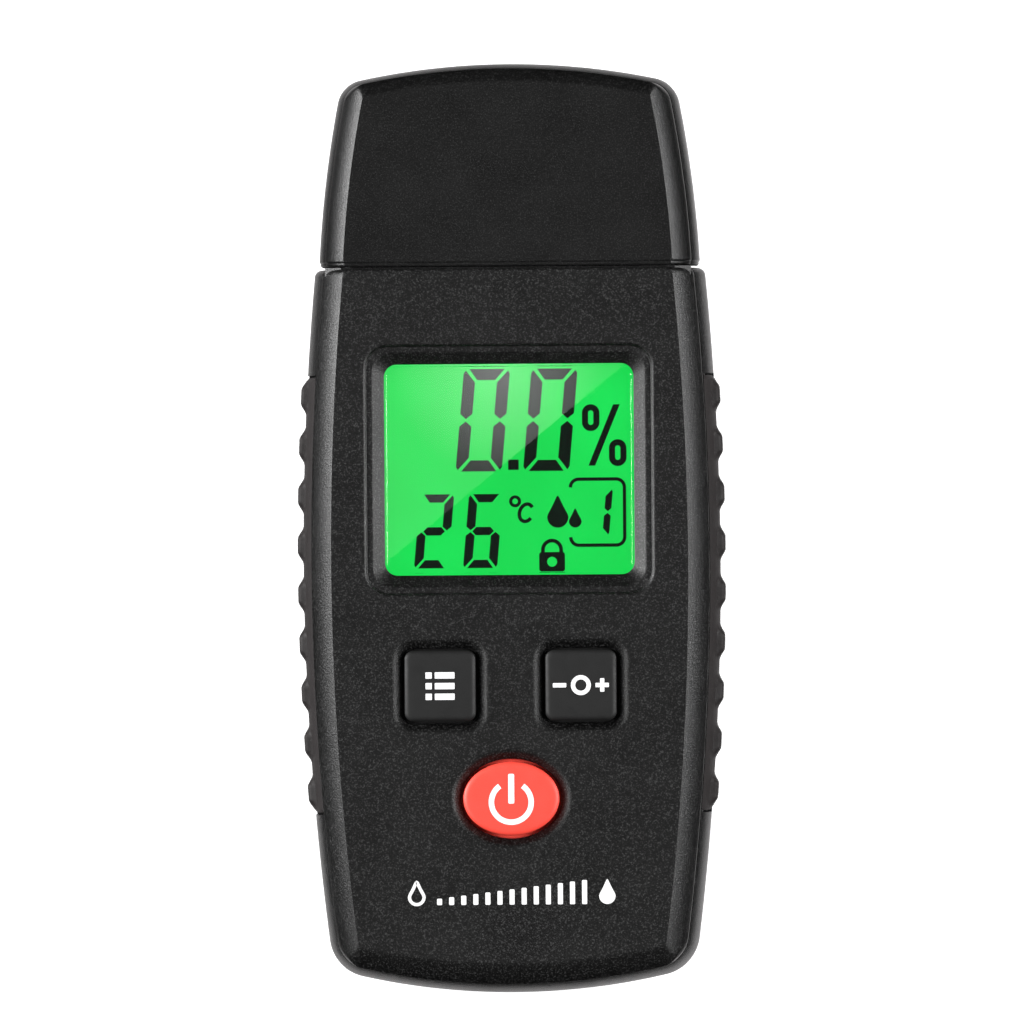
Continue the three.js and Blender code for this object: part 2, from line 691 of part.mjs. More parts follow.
// ---------------------------------------------------------------- assembly

const meter = new THREE.Group();
meter.position.y = -meterLength / 2;

function place(name, body, material, position = [0, 0, 0]) {
  const mesh = new THREE.Mesh(geometryOf(body), material);
  mesh.name = name;
  mesh.position.set(...position);
  meter.add(mesh);
}

const rightGrip = rightGripSolid();
const sides = { left: -1, right: 1 };

place('front_shell', frontShell(), blackPlastic);
place('rear_shell', rearShell(), blackPlastic);
place('pin_cap', pinCap(), capPlastic);
place('right_grip', rightGrip, rubber);
place('left_grip', solid(mirroredInX(geometryOf(rightGrip))), rubber);

place('display_window', displayWindow(), clearPlastic);
place('window_gasket', windowGasket(), foam);
place('display_glass', displayCell(), glass);
place('display_holder', displayHolder(), whitePlastic);
place('light_guide', lightGuide(), clearPlastic);
place('upper_connector_strip', connectorStrip(1), foam);
place('lower_connector_strip', connectorStrip(-1), foam);

place('keypad_mat', keypadMat(), keyRubber);
place('mode_key', keySolid(squareKeyShape(-1), keySpots.mode, 2), keyRubber);
place('set_key', keySolid(squareKeyShape(1), keySpots.set, 2), keyRubber);
place('power_key', keySolid(powerKeyShape, keySpots.power, 12), redRubber);
for (const [name, spot] of Object.entries(keySpots)) {
  place(`${name}_key_pill`, contactPill(spot), carbon);
}

place('main_board', mainBoard(), greenBoard);
place('microcontroller', block(-5, 5, 76, 86, underBoardZ - 1.5, underBoardZ), carbon);
place('buzzer', post(-13, 70.5, 5, underBoardZ - 5, underBoardZ, 20), carbon);
place('capacitor', post(14, 75, 2.5, underBoardZ - 7, underBoardZ), carbon);
place('crystal', crystalCan(), steel);
place('temperature_sensor', block(-1.6, 1.6, 89, 91, underBoardZ - 1, underBoardZ), carbon);
place('battery_socket', block(0, 8, 70.5, 74.5, underBoardZ - 5, underBoardZ), whitePlastic);

place('pin_carrier', pinCarrier(), whitePlastic);
for (const [name, side] of Object.entries(sides)) {
  place(`${name}_pin`, measuringPin(side), steel);
  place(`${name}_pin_socket`, pinSocket(side), brass);
  place(`${name}_probe_lead`, probeLead(side), side < 0 ? redWire : blackWire);
  place(`${name}_lamp`, lamp(side), whitePlastic);
}

place('battery_door', batteryDoor(), blackPlastic);
for (const index of cellX.keys()) {
  place(`battery_cell_${index + 1}`, batteryCell(index), cellSleeve);
  place(`battery_spring_${index + 1}`, batterySpring(index), steel);
  place(`battery_contact_${index + 1}`, contactPlate(index), steel);
}
place('red_battery_lead', batteryLead(-1, 2), redWire);
place('black_battery_lead', batteryLead(1, 6), blackWire);

caseScrewSpots.forEach(([x, y], i) => {
  place(`case_screw_${i + 1}`, caseScrewSolid(), steel, [x, y, caseScrew.seatZ - gap]);
});
boardScrewSpots.forEach(([x, y], i) => {
  place(`board_screw_${i + 1}`, boardScrewSolid(), steel, [x, y, board.lowZ - gap]);
});

function mirroredInX(geometry) {
  const mirrored = geometry.clone().scale(-1, 1, 1);
  const index = mirrored.index.array;
  for (let i = 0; i < index.length; i += 3) {
    [index[i + 1], index[i + 2]] = [index[i + 2], index[i + 1]];
  }
  return mirrored;
}

const part = new THREE.Group();
part.add(meter);
export default part;
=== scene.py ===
# The looks of the moisture meter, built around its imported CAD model.
# Shapes are written in millimetres, with Y counted from the meter's lower end, and turned into
# the frame's metres when their meshes are made.
import json
import math

import bmesh
import bpy
from mathutils import Matrix, Vector


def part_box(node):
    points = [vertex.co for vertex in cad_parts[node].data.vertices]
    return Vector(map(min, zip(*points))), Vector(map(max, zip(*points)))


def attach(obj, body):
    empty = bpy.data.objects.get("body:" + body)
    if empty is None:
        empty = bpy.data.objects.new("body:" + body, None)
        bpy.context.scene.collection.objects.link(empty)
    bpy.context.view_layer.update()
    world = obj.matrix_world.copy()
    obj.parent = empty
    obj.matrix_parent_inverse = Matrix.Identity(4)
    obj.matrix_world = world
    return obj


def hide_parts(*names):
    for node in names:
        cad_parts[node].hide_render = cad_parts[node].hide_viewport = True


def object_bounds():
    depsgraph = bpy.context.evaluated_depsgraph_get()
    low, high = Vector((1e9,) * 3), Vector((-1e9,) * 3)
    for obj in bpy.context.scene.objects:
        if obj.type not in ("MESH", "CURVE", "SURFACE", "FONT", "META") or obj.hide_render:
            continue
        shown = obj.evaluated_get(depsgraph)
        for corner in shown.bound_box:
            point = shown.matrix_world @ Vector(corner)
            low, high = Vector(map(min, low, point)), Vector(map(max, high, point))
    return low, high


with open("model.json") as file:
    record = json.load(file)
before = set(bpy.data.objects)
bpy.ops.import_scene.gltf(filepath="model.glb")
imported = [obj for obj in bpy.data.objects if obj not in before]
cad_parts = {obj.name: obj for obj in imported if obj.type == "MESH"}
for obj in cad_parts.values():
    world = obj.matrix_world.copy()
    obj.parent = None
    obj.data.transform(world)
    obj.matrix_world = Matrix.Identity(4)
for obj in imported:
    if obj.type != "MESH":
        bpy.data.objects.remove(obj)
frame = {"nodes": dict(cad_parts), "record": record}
CAD_BOUNDS = [list(corner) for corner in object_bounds()]
MM = 0.001
LOW_END = CAD_BOUNDS[0][1]


def metres(x, y, z):
    return Vector((x * MM, LOW_END + y * MM, z * MM))


def cad_box(node):
    """A CAD node's lowest and highest corners, in this script's millimetres."""
    low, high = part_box(node)
    return [[c[0] / MM, (c[1] - LOW_END) / MM, c[2] / MM] for c in (low, high)]


def cad_middle(node):
    return [(a + b) / 2 for a, b in zip(*cad_box(node))]


# ---- dimensions, as in the CAD model

FRONT_Z = cad_box("front_shell")[1][2]
PARTING_Z = 18.0
GAP = 0.3
BODY_END_Y = 102.1
CAP_MOUTH_Y = 102.4
CAP_BACK_Z = cad_box("pin_cap")[0][2]
CAP_FRONT_Z = cad_box("pin_cap")[1][2]

BODY_PLAN = dict(half_width=29.4, widest_y=61, side_radius=430, end_y=0, end_side=-1,
                 end_radius=97, open_y=BODY_END_Y)
CAP_PLAN = dict(half_width=27, widest_y=94.3, side_radius=166, end_y=131, end_side=1,
                end_radius=101, open_y=CAP_MOUTH_Y)
BODY_CORNER = 6.0
CAP_CORNER = 4.1
OPEN_RADIUS = 10000.0

# Lower half: a round back edge, and a wall that leans in to its rim, RIM_TILT from upright.
BACK_EDGE = 2.5
RIM_TILT = math.radians(28)
BODY_RIM = dict(side=1.3, end=1.3)
CAP_RIM = dict(side=0.9, end=0.7)
SUPPORT = 0.45

# Crown: insets of its foot and of its crease from the sides, of its foot from the closed end, the
# run of the roll there, and the face it rises to. Bevels tilt in from upright, foot to crease, and
# rolls slope from level, foot to face.
BEVEL_TILTS = (math.radians(18), math.radians(48))
ROLL_SLOPES = (math.radians(50), math.radians(16))
BODY_CROWN = dict(side=1.42, crease=4.3, end=1.42, roll=2.9, top_z=FRONT_Z)
CAP_CROWN = dict(side=1.0, crease=3.6, end=0.8, roll=1.8, top_z=CAP_FRONT_Z)
CREASE_CORNER = 0.5

GRIP_ENDS = (25.6, 86.9)
GRIP_FOOT_Z = 3.2
WINDOW = dict(x=0, y=73.8, width=35.1, height=29.7, radius=1.8)
KEY_SPAN = 9.9
KEY_Y = 43.4
POWER_Y = 27.5
KEY_TOP_Z = cad_box("mode_key")[1][2]


# ---- mesh helpers

def shade_smooth(mesh, sharp_degrees=32):
    """Smooth shading, except over edges sharper than an angle."""
    mesh.polygons.foreach_set("use_smooth", [True] * len(mesh.polygons))
    mesh.set_sharp_from_angle(angle=math.radians(sharp_degrees))


class Builder:
    """Collects rings and faces in millimetres and makes one smooth-shaded object of them."""

    def __init__(self):
        self.bm = bmesh.new()

    def ring(self, points):
        return [self.bm.verts.new(point) for point in points]

    def face(self, verts):
        if len(set(verts)) == len(verts):
            self.bm.faces.new(verts)

    def bridge(self, low, high, closed=True):
        count = len(low) if closed else len(low) - 1
        for i in range(count):
            j = (i + 1) % len(low)
            self.face((low[i], low[j], high[j], high[i]))

    def loft(self, rings):
        rings = [self.ring(points) for points in rings]
        for low, high in zip(rings, rings[1:]):
            self.bridge(low, high)
        return rings

    def solid(self, rings):
        """A loft with a face on each end."""
        rings = self.loft(rings)
        self.face(rings[0][::-1])
        self.face(rings[-1])

    def fill(self, *rings):
        """Fills the flat region between an outer ring and the rings of its holes."""
        edges = []
        for ring in rings:
            for i, vert in enumerate(ring):
                other = ring[(i + 1) % len(ring)]
                edge = self.bm.edges.get((vert, other)) or self.bm.edges.new((vert, other))
                edges.append(edge)
        bmesh.ops.triangle_fill(self.bm, use_beauty=True, edges=edges)

    def prism(self, loop, z0, z1):
        self.solid([at_height(loop, z) for z in (z0, z1)])

    def band(self, left, right, z0, z1, closed=False):
        """A flat ribbon between two lines of points, with a thickness."""
        corners = [self.ring([(x, y, z) for x, y in line])
                   for line, z in ((left, z0), (right, z0), (right, z1), (left, z1))]
        for i in range(4):
            self.bridge(corners[i], corners[(i + 1) % 4], closed)
        if not closed:
            self.face([line[0] for line in corners])
            self.face([line[-1] for line in corners][::-1])

    def join(self, other):
        """Takes in another builder's mesh."""
        mesh = bpy.data.meshes.new("joined")
        other.bm.to_mesh(mesh)
        other.bm.free()
        self.bm.from_mesh(mesh)
        bpy.data.meshes.remove(mesh)

    def object(self, name, sharp_degrees=32, place=None):
        bm = self.bm
        bmesh.ops.remove_doubles(bm, verts=bm.verts, dist=1e-4)
        bmesh.ops.recalc_face_normals(bm, faces=bm.faces)
        for vert in bm.verts:
            point = vert.co if place is None else place @ vert.co
            vert.co = metres(*point)
        mesh = bpy.data.meshes.new(name)
        bm.to_mesh(mesh)
        bm.free()
        shade_smooth(mesh, sharp_degrees)
        obj = bpy.data.objects.new(name, mesh)
        bpy.context.collection.objects.link(obj)
        return obj


def cut(obj, cutter, operation="DIFFERENCE"):
    """Applies a boolean to obj with another object, which is then deleted."""
    modifier = obj.modifiers.new("cut", "BOOLEAN")
    modifier.operation = operation
    modifier.solver = "EXACT"
    modifier.object = cutter
    graph = bpy.context.evaluated_depsgraph_get()
    mesh = bpy.data.meshes.new_from_object(obj.evaluated_get(graph))
    obj.modifiers.clear()
    old = obj.data
    obj.data = mesh
    bpy.data.meshes.remove(old)
    bpy.data.objects.remove(cutter)
    shade_smooth(mesh)


def join_objects(target, extra):
    """Adds another object's mesh to target's, and deletes that object."""
    bm = bmesh.new()
    bm.from_mesh(target.data)
    bm.from_mesh(extra.data)
    bm.to_mesh(target.data)
    bm.free()
    bpy.data.objects.remove(extra)
    shade_smooth(target.data)


def box_builder(x0, x1, y0, y1, z0, z1):
    builder = Builder()
    builder.prism([(x0, y0), (x1, y0), (x1, y1), (x0, y1)], z0, z1)
    return builder


def arc(cx, cy, radius, start, end, count, first=0):
    """Points on an arc, from number first of count steps up to the last but one."""
    angles = [start + (end - start) * i / count for i in range(first, count)]
    return [(cx + radius * math.cos(a), cy + radius * math.sin(a)) for a in angles]


def rounded_loop(shape, out=0.0, corner_steps=8, growth=1.0):
    """A rounded rectangle's outline, pushed outwards. growth is how fast its corners' radius
    follows."""
    radius = shape["radius"] + growth * out
    x = shape["width"] / 2 + out - radius
    y = shape["height"] / 2 + out - radius
    loop = []
    for turn, (sx, sy) in enumerate(((1, 1), (-1, 1), (-1, -1), (1, -1))):
        start = turn * math.pi / 2
        centre = (shape["x"] + sx * x, shape["y"] + sy * y)
        loop += arc(*centre, radius, start, start + math.pi / 2, corner_steps)
        end = start + math.pi / 2
        loop.append((centre[0] + radius * math.cos(end), centre[1] + radius * math.sin(end)))
    return loop


def oval_loop(shape, out=0.0, steps=72):
    rx = shape["width"] / 2 + out
    ry = shape["height"] / 2 + out
    angles = [2 * math.pi * i / steps for i in range(steps)]
    return [(shape["x"] + rx * math.cos(a), shape["y"] + ry * math.sin(a)) for a in angles]


def at_height(loop, z):
    return [(x, y, z) for x, y in loop]


def stacked(make_loop, levels):
    """An outline at several heights, from (distance outwards, height) pairs."""
    return [at_height(make_loop(out), z) for out, z in levels]


def turned(profile, steps=48):
    """A closed solid of revolution about Z, from (radius, height) pairs."""
    angles = [2 * math.pi * i / steps for i in range(steps)]
    builder = Builder()
    rings = [[(r * math.cos(a), r * math.sin(a), h) for a in angles] for r, h in profile if r > 0]
    lofted = builder.loft(rings)
    if profile[0][0] == 0:
        builder.face(lofted[0][::-1])
    if profile[-1][0] == 0:
        builder.face(lofted[-1])
    if profile[0][0] > 0 and profile[-1][0] > 0:
        builder.bridge(lofted[-1], lofted[0])
    return builder


# ---- plan outlines of body and cap

SIDE_STEPS = 44
CORNER_STEPS = 14
END_STEPS = 36
SHOULDER_STEPS = 6
OPEN_STEPS = 24


def corner_centre(side, side_reach, end, end_reach, sign):
    """The point at given distances from two others, on the side of their line that sign tells."""
    dx, dy = end[0] - side[0], end[1] - side[1]
    apart = math.hypot(dx, dy)
    along = (apart ** 2 + side_reach ** 2 - end_reach ** 2) / (2 * apart)
    across = sign * math.sqrt(side_reach ** 2 - along ** 2)
    return (side[0] + (along * dx - across * dy) / apart,
            side[1] + (along * dy + across * dx) / apart)


def plan_loop(plan, side_inset, end_inset, open_inset, corner, shoulder):
    """The closed outline as (x, y, kind) points. kind runs from 0 on the sides to 1 on the closed
    end and -1 on the open end, turning over in the corners."""
    sign = plan["end_side"]
    side = (plan["half_width"] - plan["side_radius"], plan["widest_y"])
    side_radius = plan["side_radius"] - side_inset
    end = (0, plan["end_y"] - sign * plan["end_radius"])
    end_radius = plan["end_radius"] - end_inset
    far = (0, plan["open_y"] + sign * OPEN_RADIUS)
    far_radius = OPEN_RADIUS - open_inset
    closed_corner = corner_centre(side, side_radius - corner, end, end_radius - corner, sign)
    open_corner = corner_centre(side, side_radius - shoulder, far, far_radius - shoulder, -sign)

    def direction(centre, point):
        return math.atan2(point[1] - centre[1], point[0] - centre[0])

    def tagged(points, kinds):
        return [(x, y, kind) for (x, y), kind in zip(points, kinds)]

    side_low = direction(side, open_corner)
    side_high = direction(side, closed_corner)
    end_start = direction(end, closed_corner)
    far_start = direction(far, open_corner)
    right = tagged(arc(*side, side_radius, side_low, side_high, SIDE_STEPS), [0] * SIDE_STEPS)
    blend = [i / CORNER_STEPS for i in range(CORNER_STEPS)]
    right += tagged(arc(*closed_corner, corner, side_high, end_start, CORNER_STEPS),
                    [t * t * (3 - 2 * t) for t in blend])
    end_half = tagged(arc(*end, end_radius, end_start, sign * math.pi / 2, END_STEPS // 2),
                      [1] * (END_STEPS // 2))
    middle = [(end[0], end[1] + sign * end_radius, 1)]
    first = right + end_half + middle
    mirrored = [(-x, y, kind) for x, y, kind in reversed(right + end_half)]
    start_corner = tagged(arc(*open_corner, shoulder, far_start, side_low, SHOULDER_STEPS),
                          [-1 + i / SHOULDER_STEPS for i in range(SHOULDER_STEPS)])
    edge_x, edge_y = start_corner[0][:2]
    line = [(edge_x * (2 * i / OPEN_STEPS - 1), edge_y, -1) for i in range(1, OPEN_STEPS)]
    left_corner = [(-x, y, kind) for x, y, kind in reversed(start_corner)]
    return first + mirrored + left_corner + line + start_corner


def shell_ring(plan, station):
    """One ring of a lofted shell. Each station gives, for side, end and open end, an inset and a
    height, and the corner radii."""
    (side_in, side_z), (end_in, end_z), (open_in, open_z), corner, shoulder = station
    points = []
    for x, y, kind in plan_loop(plan, side_in, end_in, open_in, corner, shoulder):
        other = end_z if kind > 0 else open_z
        points.append((x, y, side_z + (other - side_z) * abs(kind)))
    return points


def side_x(plan, y, inset=0.0):
    """Where the right-hand side wall stands at a place along it."""
    reach = plan["side_radius"] - inset
    across = math.sqrt(reach ** 2 - (y - plan["widest_y"]) ** 2)
    return plan["half_width"] - plan["side_radius"] + across


def crown_stations(form, start_z, corner, lip, shoulder):
    """Level stations from the parting line up to the flat face: an upright wall, then arcs that
    end in creases along the sides and the closed end, and round the edge of the open end."""
    low, high = BEVEL_TILTS
    steep, gentle = ROLL_SLOPES
    top_z = form["top_z"]
    reach = (form["crease"] - form["side"]) / (math.cos(low) - math.cos(high))
    roll_reach = form["roll"] / (math.sin(steep) - math.sin(gentle))
    bevel_z = top_z - reach * (math.sin(high) - math.sin(low))
    roll_z = top_z - roll_reach * (math.cos(gentle) - math.cos(steep))

    def side_inset(z):
        tilt = math.asin(max(math.sin(high) - (top_z - z) / reach, math.sin(low)))
        return form["side"] + reach * (math.cos(low) - math.cos(tilt))

    def end_inset(z):
        slope = math.acos(max(math.cos(gentle) - (top_z - z) / roll_reach, math.cos(steep)))
        return form["end"] + roll_reach * (math.sin(steep) - math.sin(slope))

    def open_inset(z):
        above = max(0, z - top_z + lip)
        return lip - math.sqrt(max(0, lip ** 2 - above ** 2))

    heights = [start_z + share * (bevel_z - start_z) for share in (0, 0.5, 0.9)]
    heights += [bevel_z + (roll_z - bevel_z) * i / 10 for i in range(10)]
    heights += [roll_z + (top_z - roll_z) * i / 16 for i in range(17)]
    stations = []
    for z in heights:
        up = max(0, (z - bevel_z) / (top_z - bevel_z))
        ring_corner = corner + (CREASE_CORNER - corner) * up
        stations.append(((side_inset(z), z), (end_inset(z), z), (open_inset(z), z),
                         ring_corner, shoulder))
    side, end, opened, ring_corner, _ = stations[-1]
    for inwards in (0.1, SUPPORT):
        stations.append(((side[0] + inwards, top_z), (end[0] + inwards, top_z),
                         (opened[0] + inwards, top_z), ring_corner, shoulder))
    return stations


def rim_arc(rim_inset):
    """The wall's last stretch below the parting line as (inset, height): upright at first, and
    leaning in by RIM_TILT at its end."""
    steps = 14
    turn = math.acos(1 - rim_inset / BACK_EDGE)
    tall = BACK_EDGE * math.tan(turn) / math.tan(RIM_TILT)
    foot = PARTING_Z - tall * math.sin(turn)
    angles = [turn * i / steps for i in range(steps + 1)]
    return [(BACK_EDGE * (1 - math.cos(a)), foot + tall * math.sin(a)) for a in angles]


def tub_stations(back_z, rim, corner, shoulder):
    """Stations from the flat back round its edge, up the wall and in to the rim."""
    steps = 8
    open_edge = 0.8
    inner = BACK_EDGE + SUPPORT
    stations = [((inner, back_z), (inner, back_z), (open_edge + SUPPORT, back_z),
                 corner - BACK_EDGE, shoulder)]
    for i in range(steps + 1):
        angle = math.pi / 2 * i / steps
        inwards, up = 1 - math.sin(angle), 1 - math.cos(angle)
        wall = (BACK_EDGE * inwards, back_z + BACK_EDGE * up)
        opened = (open_edge * inwards, back_z + open_edge * up)
        stations.append((wall, wall, opened, corner - wall[0], shoulder))
    end_share = rim["end"] / rim["side"]
    for inset, z in rim_arc(rim["side"]):
        stations.append(((inset, z), (inset * end_share, z), (0, z), corner - inset, shoulder))
    return stations


# ---- materials

def node_material(name):
    material = bpy.data.materials.new(name)
    material.use_nodes = True
    nodes = material.node_tree.nodes
    return material, nodes, material.node_tree.links, nodes["Principled BSDF"]


def set_inputs(node, values):
    for name, value in values.items():
        node.inputs[name].default_value = value


def noise(nodes, links, scale, detail=3.0, roughness=0.55):
    """Noise in the object's own coordinates; scale is in features per metre."""
    texture = nodes.new("ShaderNodeTexNoise")
    set_inputs(texture, {"Scale": scale, "Detail": detail, "Roughness": roughness})
    place = nodes.get("place") or nodes.new("ShaderNodeTexCoord")
    place.name = "place"
    links.new(place.outputs["Object"], texture.inputs["Vector"])
    return texture.outputs["Fac"]


def spread(nodes, links, value, low, high, from_low=0.3, from_high=0.7):
    ranged = nodes.new("ShaderNodeMapRange")
    set_inputs(ranged, {"From Min": from_low, "From Max": from_high, "To Min": low, "To Max": high})
    links.new(value, ranged.inputs["Value"])
    return ranged.outputs["Result"]


def two_tone(nodes, links, value, dark, light):
    ramp = nodes.new("ShaderNodeValToRGB")
    for element, place, colour in zip(ramp.color_ramp.elements, (0.35, 0.65), (dark, light)):
        element.position = place
        element.color = (*colour, 1)
    links.new(value, ramp.inputs["Fac"])
    return ramp.outputs["Color"]


def bump(nodes, links, height, strength, distance, under=None):
    node = nodes.new("ShaderNodeBump")
    set_inputs(node, {"Strength": strength, "Distance": distance})
    links.new(height, node.inputs["Height"])
    if under is not None:
        links.new(under, node.inputs["Normal"])
    return node.outputs["Normal"]


def surface(name, dark, light, grain, roughness, relief, metallic=0.0, specular=0.5, coat=0.0):
    """A moulded, drawn or printed surface: its colour varies with fine noise and its roughness
    with coarse noise, over a fine relief. grain is the fine noise's feature size in millimetres."""
    material, nodes, links, shader = node_material(name)
    fine = noise(nodes, links, 1 / (grain * MM))
    broad = noise(nodes, links, 1 / (12 * grain * MM), detail=2.0)
    links.new(two_tone(nodes, links, fine, dark, light), shader.inputs["Base Color"])
    links.new(spread(nodes, links, broad, *roughness), shader.inputs["Roughness"])
    set_inputs(shader, {"Metallic": metallic, "Specular IOR Level": specular, "Coat Weight": coat})
    soft = bump(nodes, links, broad, 0.1, relief * 0.4 * MM)
    links.new(bump(nodes, links, fine, 0.6, relief * MM, soft), shader.inputs["Normal"])
    return material


def grey(value):
    return (value, value, value)


def spark_surface(name, tones, grain, roughness, relief, specular):
    """Spark-eroded plastic: a dark ground with lighter specks, over a grainy relief. tones are the
    ground's darkest, its usual and the specks' brightness; grain is a speck's size in millimetres."""
    material, nodes, links, shader = node_material(name)
    fine = noise(nodes, links, 1 / (grain * MM), detail=2.0, roughness=0.65)
    broad = noise(nodes, links, 1 / (9 * MM), detail=2.0)
    ramp = nodes.new("ShaderNodeValToRGB")
    for tone, place in zip(tones, (0.42, 0.54, 0.66)):
        element = ramp.color_ramp.elements.new(place)
        element.color = (*grey(tone), 1)
    for element in (ramp.color_ramp.elements[-1], ramp.color_ramp.elements[0]):
        ramp.color_ramp.elements.remove(element)
    links.new(fine, ramp.inputs["Fac"])
    links.new(ramp.outputs["Color"], shader.inputs["Base Color"])
    links.new(spread(nodes, links, broad, *roughness), shader.inputs["Roughness"])
    shader.inputs["Specular IOR Level"].default_value = specular
    links.new(bump(nodes, links, fine, 1.0, relief * MM), shader.inputs["Normal"])
    return material


def glass_material(name):
    material, nodes, links, shader = node_material(name)
    set_inputs(shader, {"Transmission Weight": 1.0, "IOR": 1.46, "Base Color": (0.96, 1.0, 0.97, 1)})
    haze = noise(nodes, links, 1 / (9 * MM), detail=2.0)
    links.new(spread(nodes, links, haze, 0.0, 0.02), shader.inputs["Roughness"])
    return material


def lit_display_material(name):
    """The display's ground: liquid crystal lit green from behind, a little uneven."""
    material, nodes, links, shader = node_material(name)
    cloud = noise(nodes, links, 1 / (14 * MM), detail=1.0)
    colour = two_tone(nodes, links, cloud, (0.0, 0.7, 0.075), (0.001, 0.78, 0.09))
    set_inputs(shader, {"Base Color": (0.0, 0.03, 0.008, 1), "Roughness": 0.25,
                        "Emission Strength": 1.0})
    links.new(colour, shader.inputs["Emission Color"])
    return material


def slot_materials():
    """One material for each of the record's material slots."""
    return {
        "case": spark_surface("spark_textured_abs", (0.0, 0.0015, 0.04), 0.22, (0.36, 0.42),
                              0.06, 0.33),
        "cap": spark_surface("fine_textured_abs", (0.0, 0.001, 0.021), 0.2, (0.34, 0.4),
                             0.05, 0.32),
        "grip": surface("soft_rubber", (0.006, 0.0045, 0.0045), (0.015, 0.012, 0.012), 0.22,
                        (0.6, 0.75), 0.05, specular=0.3),
        "window": glass_material("clear_acrylic"),
        "foam": surface("adhesive_foam", grey(0.008), grey(0.02), 0.3, (0.85, 0.95), 0.1),
        "display": lit_display_material("lit_liquid_crystal"),
        "white_plastic": surface("white_nylon", grey(0.62), grey(0.74), 0.5, (0.4, 0.55), 0.01),
        "diffuser": surface("milky_acrylic", grey(0.75), grey(0.85), 0.8, (0.3, 0.4), 0.004),
        "connector_rubber": surface("layered_rubber", (0.25, 0.03, 0.03), (0.4, 0.06, 0.07), 0.2,
                                    (0.6, 0.7), 0.01),
        "key_rubber": surface("satin_silicone", grey(0.006), grey(0.012), 0.12, (0.5, 0.6), 0.008,
                              specular=0.3),
        "power_key": surface("red_silicone", (0.86, 0.055, 0.035), (0.93, 0.07, 0.045), 0.12,
                             (0.45, 0.55), 0.008),
        "carbon": surface("printed_carbon", grey(0.005), grey(0.014), 0.1, (0.7, 0.85), 0.01),
        "circuit_board": surface("solder_mask", (0.01, 0.085, 0.03), (0.015, 0.12, 0.045), 1.2,
                                 (0.25, 0.4), 0.01, coat=0.3),
        "chip": surface("moulded_epoxy", grey(0.01), grey(0.022), 0.15, (0.5, 0.65), 0.01),
        "capacitor": surface("shrink_sleeve", (0.012, 0.018, 0.05), (0.02, 0.03, 0.08), 0.9,
                             (0.2, 0.3), 0.005),
        "crystal_can": surface("drawn_can", grey(0.5), grey(0.62), 0.3, (0.2, 0.35), 0.004,
                               metallic=1.0),
        "steel": surface("ground_steel", grey(0.52), grey(0.66), 0.08, (0.16, 0.28), 0.004,
                         metallic=1.0),
        "brass": surface("turned_brass", (0.6, 0.4, 0.14), (0.75, 0.54, 0.22), 0.12,
                         (0.2, 0.35), 0.006, metallic=1.0),
        "red_wire": surface("red_insulation", (0.38, 0.012, 0.01), (0.48, 0.02, 0.016), 0.5,
                            (0.3, 0.4), 0.004),
        "black_wire": surface("black_insulation", grey(0.007), grey(0.014), 0.5, (0.3, 0.4), 0.004),
        "lamp": surface("lamp_resin", (0.6, 0.8, 0.6), (0.7, 0.9, 0.7), 0.4, (0.1, 0.2), 0.003),
        "cell": surface("printed_sleeve", (0.03, 0.11, 0.22), (0.05, 0.16, 0.3), 0.7,
                        (0.2, 0.3), 0.004, coat=0.4),
        "spring_steel": surface("nickel_plate", grey(0.55), grey(0.68), 0.1, (0.15, 0.3), 0.003,
                                metallic=1.0),
        "screw": surface("zinc_plate", grey(0.32), grey(0.46), 0.12, (0.3, 0.42), 0.006,
                         metallic=1.0),
    }


def print_material(name, dark, light, specular=0.5):
    return surface(name, dark, light, 0.15, (0.5, 0.6), 0.004, specular=specular)


MATERIALS = slot_materials()
WHITE_PRINT = print_material("white_print", grey(0.82), grey(0.9))
SEGMENT_INK = print_material("liquid_crystal_segment", (0.0, 0.006, 0.002), (0.0, 0.01, 0.003),
                             specular=0.0)


def finish_piece(obj, body, slot, *nodes, material=None):
    """Gives a piece its material, the one given or else its slot's, puts it on the body it rides on,
    and hides the CAD nodes it replaces.
    """
    obj.data.materials.clear()
    obj.data.materials.append(material or MATERIALS[slot])
    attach(obj, body)
    if nodes:
        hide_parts(*nodes)


# ---- front shell

KEY_HOLE = dict(y=KEY_Y, width=10.6, height=10.5, radius=1.5)
MODE_HOLE = dict(KEY_HOLE, x=-KEY_SPAN)
SET_HOLE = dict(KEY_HOLE, x=KEY_SPAN)
POWER_HOLE = dict(x=0, y=POWER_Y, width=14.1, height=11.2)
CEILING_Z = FRONT_Z - 2
SHELL_JOINT = 0.03
HEAD_INSET = 3.5
HEAD_END_Y = 114.5
HEAD_BACK_Z, HEAD_FRONT_Z = 2.6, 24.8

# (distance outside the opening, depth below the front face), from the face down.
WINDOW_PROFILE = [
    (3.2, 0), (2.92, 0), (2.84, 0.02), (2.74, 0.07), (2.64, 0.16), (2.57, 0.28), (2.54, 0.42),
    (2.53, 0.56), (2.45, 0.62), (1.75, 0.63), (1.62, 0.66), (1.5, 0.74), (0.16, 1.72), (0.06, 1.78),
    (0, 1.86), (0, 2.6),
]
DISH_PROFILE = [
    (2.1, 0), (1.75, 0), (1.5, 0.01), (1.3, 0.04), (1.1, 0.1), (0.9, 0.2), (0.7, 0.34), (0.5, 0.5),
    (0.3, 0.66), (0.12, 0.8), (0.04, 0.92), (0, 1.1), (0, 1.99),
]


def cut_walls(builder, make_loop, profile):
    """The walls of an opening in the face. Returns its top and bottom rings."""
    rings = builder.loft(stacked(make_loop, [(out, FRONT_Z - depth) for out, depth in profile]))
    return rings[0], rings[-1]


def mirrored_ring(right, y):
    """A ring across the meter from the right-hand half of its (x, height) points."""
    return [(x, y, z) for x, z in right] + [(-x, y, z) for x, z in reversed(right)]


